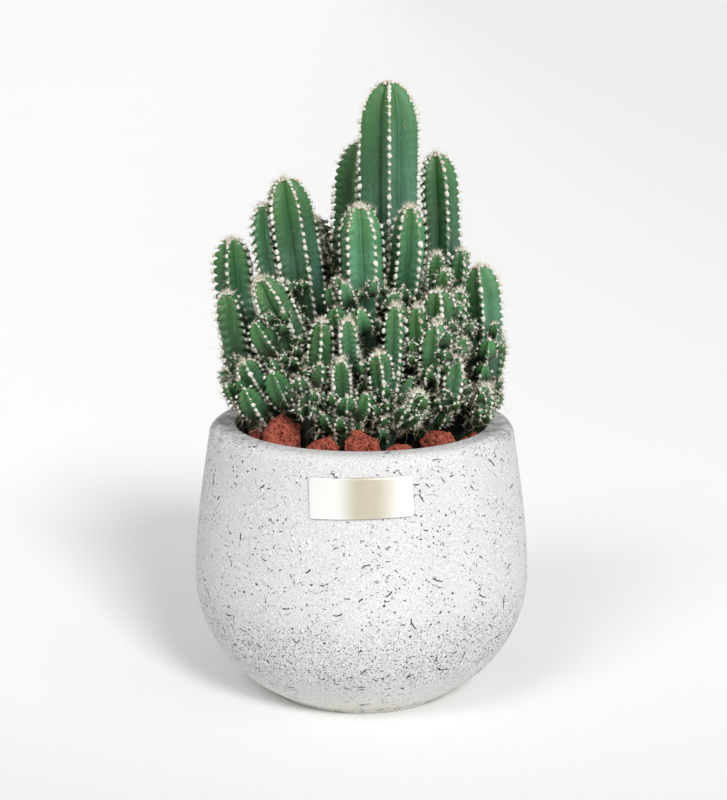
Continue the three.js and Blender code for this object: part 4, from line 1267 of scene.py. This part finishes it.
def lay_cushions():
    """Gives each plant its cushions: a dictionary of their places and measures, one row for each."""
    random = np.random.default_rng(SEED + 1)
    stems = [stem for plant in plants for stem in plant["stems"] + plant["buds"]]
    strings = [stem.balls(0) for stem in stems]
    owners = np.concatenate([np.full(len(balls), number) for number, balls in enumerate(strings)])
    balls = np.concatenate(strings)
    number = 0
    for plant in plants:
        rows = []
        for stem in plant["stems"] + plant["buds"]:
            values, kind = cushion_places(stem), cushion_kind(stem)
            kept = ~buried(values[0], number, balls, owners)
            kept &= random.random(len(kept)) > kind["missing"]
            place, out, up, width, youth, dirt = (part[kept] for part in values)
            place = place + up * random.uniform(-1, 1, (len(place), 1)) * kind["slip"]
            width = width * (1 + kind["unevenness"] * random.normal(size=len(width)))
            spine = kind["spine"] * random.uniform(0.7, 1.25, len(width))
            bud = stem in plant["buds"]
            rosy = 0.6 * youth * (stem.radius > GROWN_UP) * random.random(len(youth))
            rows.append({
                "place": place, "out": out, "up": up, "width": width * MM, "dirt": dirt * 0.8,
                "warmth": np.maximum(rosy, 0.4 * (random.random(len(youth)) < 0.08)),
                "needles": np.full(len(width), BUD_NEEDLES if bud else kind["needles"]),
                "small": np.full(len(width), float(bud)),
                "spine": np.minimum(spine, np.maximum(TOP_OF_ALL - place[:, 2], 0.2)) * MM,
            })
            number += 1
        plant["cushions"] = {name: np.concatenate([row[name] for row in rows]) for name in rows[0]}


lay_cushions()


def wool():
    finish = Finish("cream_wool")
    warmth = finish.measured("warmth")
    shag = finish.noise(2600.0, 3.0, roughness=0.8)
    tuft = finish.noise(420.0, 2.0)
    colour = finish.mix(finish.step(tuft, 0.3, 0.7), linear(220, 220, 209), linear(247, 246, 239))
    colour = finish.mix(finish.step(shag, 0.3, 0.55, 0.4, 0.0), colour, linear(178, 172, 150))
    crown = finish.step(finish.measured("top"), 0.62, 0.85, 0.0, 0.2)
    colour = finish.mix(crown, colour, linear(170, 168, 130))
    colour = finish.mix(warmth, colour, linear(204, 170, 140))
    # Painted shade darkens the cushions in the crowd, and the old head's wear darkens its own.
    colour = finish.mix(finish.measured("dirt"), colour, linear(84, 74, 54))
    relief = finish.bump(shag, 0.0004, 0.9)
    return finish.surface(Base_Color=colour, Roughness=0.96, Normal=relief, Specular_IOR_Level=0.1)


def woolly(material):
    """Sets a lumpy pad on each point, turned to face out. Those on the small buds are plainer."""
    tree = Grower("wool_cushions", lumpiness=0.30, height=0.80, length=1.22, seed=11, material=material)
    settings = {"primary_axis": "Z", "secondary_axis": "Y"}
    sockets = {"Primary Axis": tree.named("out", "FLOAT_VECTOR")}
    sockets["Secondary Axis"] = tree.named("up", "FLOAT_VECTOR")
    facing = tree.node("FunctionNodeAxesToRotation", settings, sockets)
    heaps = []
    for small, sides, rings in ((0.0, 5, 3), (1.0, 5, 2)):
        pads = []
        for shape in range(4):
            sockets = {"Segments": sides, "Rings": rings, "Radius": 1.0}
            ball = tree.node("GeometryNodeMeshUVSphere", {}, sockets)
            knock = tree.drawn((-1.0, -1.0, -1.0), (1.0, 1.0, 1.0), 20 + shape, "FLOAT_VECTOR")
            offset = tree.scaled(knock, tree.size("lumpiness"))
            lumpy = tree.node("GeometryNodeSetPosition", {}, {"Geometry": ball, "Offset": offset})
            flat = tree.joined(X=1.0, Y=tree.size("length"), Z=tree.size("height"))
            squat = tree.node("GeometryNodeTransform", {}, {"Geometry": lumpy, "Scale": flat})
            top = tree.parts(tree.node("GeometryNodeInputPosition"))["Z"]
            marked = tree.marked(squat, "top", top)
            pads.append(tree.node("GeometryNodeGeometryToInstance", {}, {"Geometry": marked}))
        sockets = {"Points": tree.given["Geometry"], "Pick Instance": True, "Rotation": facing}
        sockets["Instance"] = tree.node("GeometryNodeJoinGeometry", {}, {"Geometry": pads})
        sockets["Selection"] = abs(tree.named("small") - small) < 0.5
        sockets["Instance Index"] = tree.drawn(0, 3, tree.size("seed"), "INT")
        sockets["Scale"] = tree.named("width")
        heaps.append(tree.node("GeometryNodeInstanceOnPoints", {}, sockets))
    tree.finish(tree.node("GeometryNodeJoinGeometry", {}, {"Geometry": heaps}))
    return tree


def point_cloud(name, cushions):
    """A mesh of loose points, each with the measures of its cushion."""
    measures = {key: values for key, values in cushions.items() if key != "place"}
    return new_piece(name, cushions["place"], [], None, measures)


def dress_cushions():
    tree = woolly(wool())
    for plant in plants:
        name = plant["name"].replace("stem", "wool")
        pads = tree.grow(name, point_cloud(name + "_places", plant["cushions"]))
        on_root(pads, "cactus_skin")


dress_cushions()


# The spines. Straight ivory needles with brown points grow from every cushion, a few from each. They are
# longest on the columns.
def ivory():
    finish = Finish("ivory_spine")
    share = finish.measured("share")
    streak = finish.noise(900.0, 2.0)
    colour = finish.mix(finish.step(streak, 0.3, 0.7), linear(220, 210, 186), linear(242, 235, 216))
    colour = finish.mix(finish.step(share, 0.5, 1.0, 0.0, 0.45), colour, linear(164, 136, 104))
    return finish.surface(Base_Color=colour, Roughness=0.55)


def spiny(material):
    """Sets several needles on each cushion, each in its own direction about the outward one."""
    tree = Grower("spines", thickness=0.00011, spread=1.15, seed=31, material=material)
    cloud = tree.node("GeometryNodeMeshToPoints", {}, {"Mesh": tree.given["Geometry"]})
    sockets = {"Geometry": cloud, "Amount": tree.named("needles")}
    starts = tree.node("GeometryNodeDuplicateElements", {"domain": "POINT"}, sockets)
    sockets = {"Vertices": 3, "Side Segments": 1, "Radius Top": 0.0, "Radius Bottom": 1.0, "Depth": 1.0}
    needle = tree.node("GeometryNodeMeshCone", {"fill_type": "NGON"}, sockets)["Mesh"]
    needle = tree.marked(needle, "share", tree.parts(tree.node("GeometryNodeInputPosition"))["Z"])
    facing = tree.node("FunctionNodeAlignRotationToVector", {"axis": "Z"}, {"Vector": tree.strayed()})
    reach = tree.named("spine") * tree.drawn(0.45, 1.0, 33)
    thick = tree.size("thickness")
    scale = tree.joined(X=thick, Y=thick, Z=reach)
    sockets = {"Points": starts, "Instance": needle, "Rotation": facing, "Scale": scale}
    tree.finish(tree.node("GeometryNodeInstanceOnPoints", {}, sockets))
    return tree


def dress_spines():
    tree = spiny(ivory())
    for plant in plants:
        name = plant["name"].replace("stem", "spines")
        needles = tree.grow(name, point_cloud(name + "_places", plant["cushions"]))
        on_root(needles, "cactus_skin")


dress_spines()


# The dry hairs. Old bristles, long, bent and straw-coloured, stand and lie in the gaps of the crowd, left
# there by shoots that have died off.
HAIR_SEED, HAIRS_PER_PLANT, SHADY = 19, 60, 0.1


def straw():
    finish = Finish("dry_straw")
    colour = finish.mix(finish.noise(160.0, 2.0), linear(172, 146, 110), linear(230, 216, 186))
    return finish.surface(Base_Color=colour, Roughness=0.7)


def hairy(material):
    """Sets a bent, tapered hair on each point."""
    tree = Grower("dry_hairs", length=0.0088, thickness=0.00010, spread=1.3, seed=41, material=material)
    sockets = {"Resolution": 3, "Start": (0.0, 0.0, 0.0), "Middle": (0.0, 0.0, 0.6)}
    sockets["End"] = (0.45, 0.0, 0.9)
    bend = tree.node("GeometryNodeCurveQuadraticBezier", {}, sockets)
    ring = tree.node("GeometryNodeCurvePrimitiveCircle", {}, {"Resolution": 3, "Radius": 1.0})["Curve"]
    taper = 1.0 - tree.node("GeometryNodeSplineParameter")["Factor"] * 0.8
    width = taper * tree.size("thickness") / tree.size("length")
    sockets = {"Curve": bend, "Profile Curve": ring, "Scale": width, "Fill Caps": True}
    hair = tree.node("GeometryNodeCurveToMesh", {}, sockets)
    spin = tree.node("FunctionNodeAxisAngleToRotation", {}, {"Angle": tree.drawn(0.0, 6.28, 42)})
    sockets = {"Rotation": spin, "Vector": tree.strayed()}
    facing = tree.node("FunctionNodeAlignRotationToVector", {"axis": "Z"}, sockets)
    scale = tree.size("length") * tree.drawn(0.4, 1.25, 43)
    sockets = {"Points": tree.given["Geometry"], "Instance": hair, "Rotation": facing, "Scale": scale}
    tree.finish(tree.node("GeometryNodeInstanceOnPoints", {}, sockets))
    return tree


def dress_hairs():
    random = np.random.default_rng(HAIR_SEED)
    rows = []
    for plant in plants:
        cushions = plant["cushions"]
        in_crowd = cushions["place"][:, 2] < plant["crowd"]
        shaded = np.flatnonzero(in_crowd & (cushions["dirt"] > SHADY))
        chosen = random.choice(shaded, min(HAIRS_PER_PLANT, len(shaded)), replace=False)
        rows.append({name: values[chosen] for name, values in cushions.items()})
    gathered = {name: np.concatenate([row[name] for row in rows]) for name in rows[0]}
    cloud = point_cloud("dry_hairs_places", gathered)
    hairs = hairy(straw()).grow("dry_hairs", cloud)
    on_root(hairs, "cactus_skin")


dress_hairs()
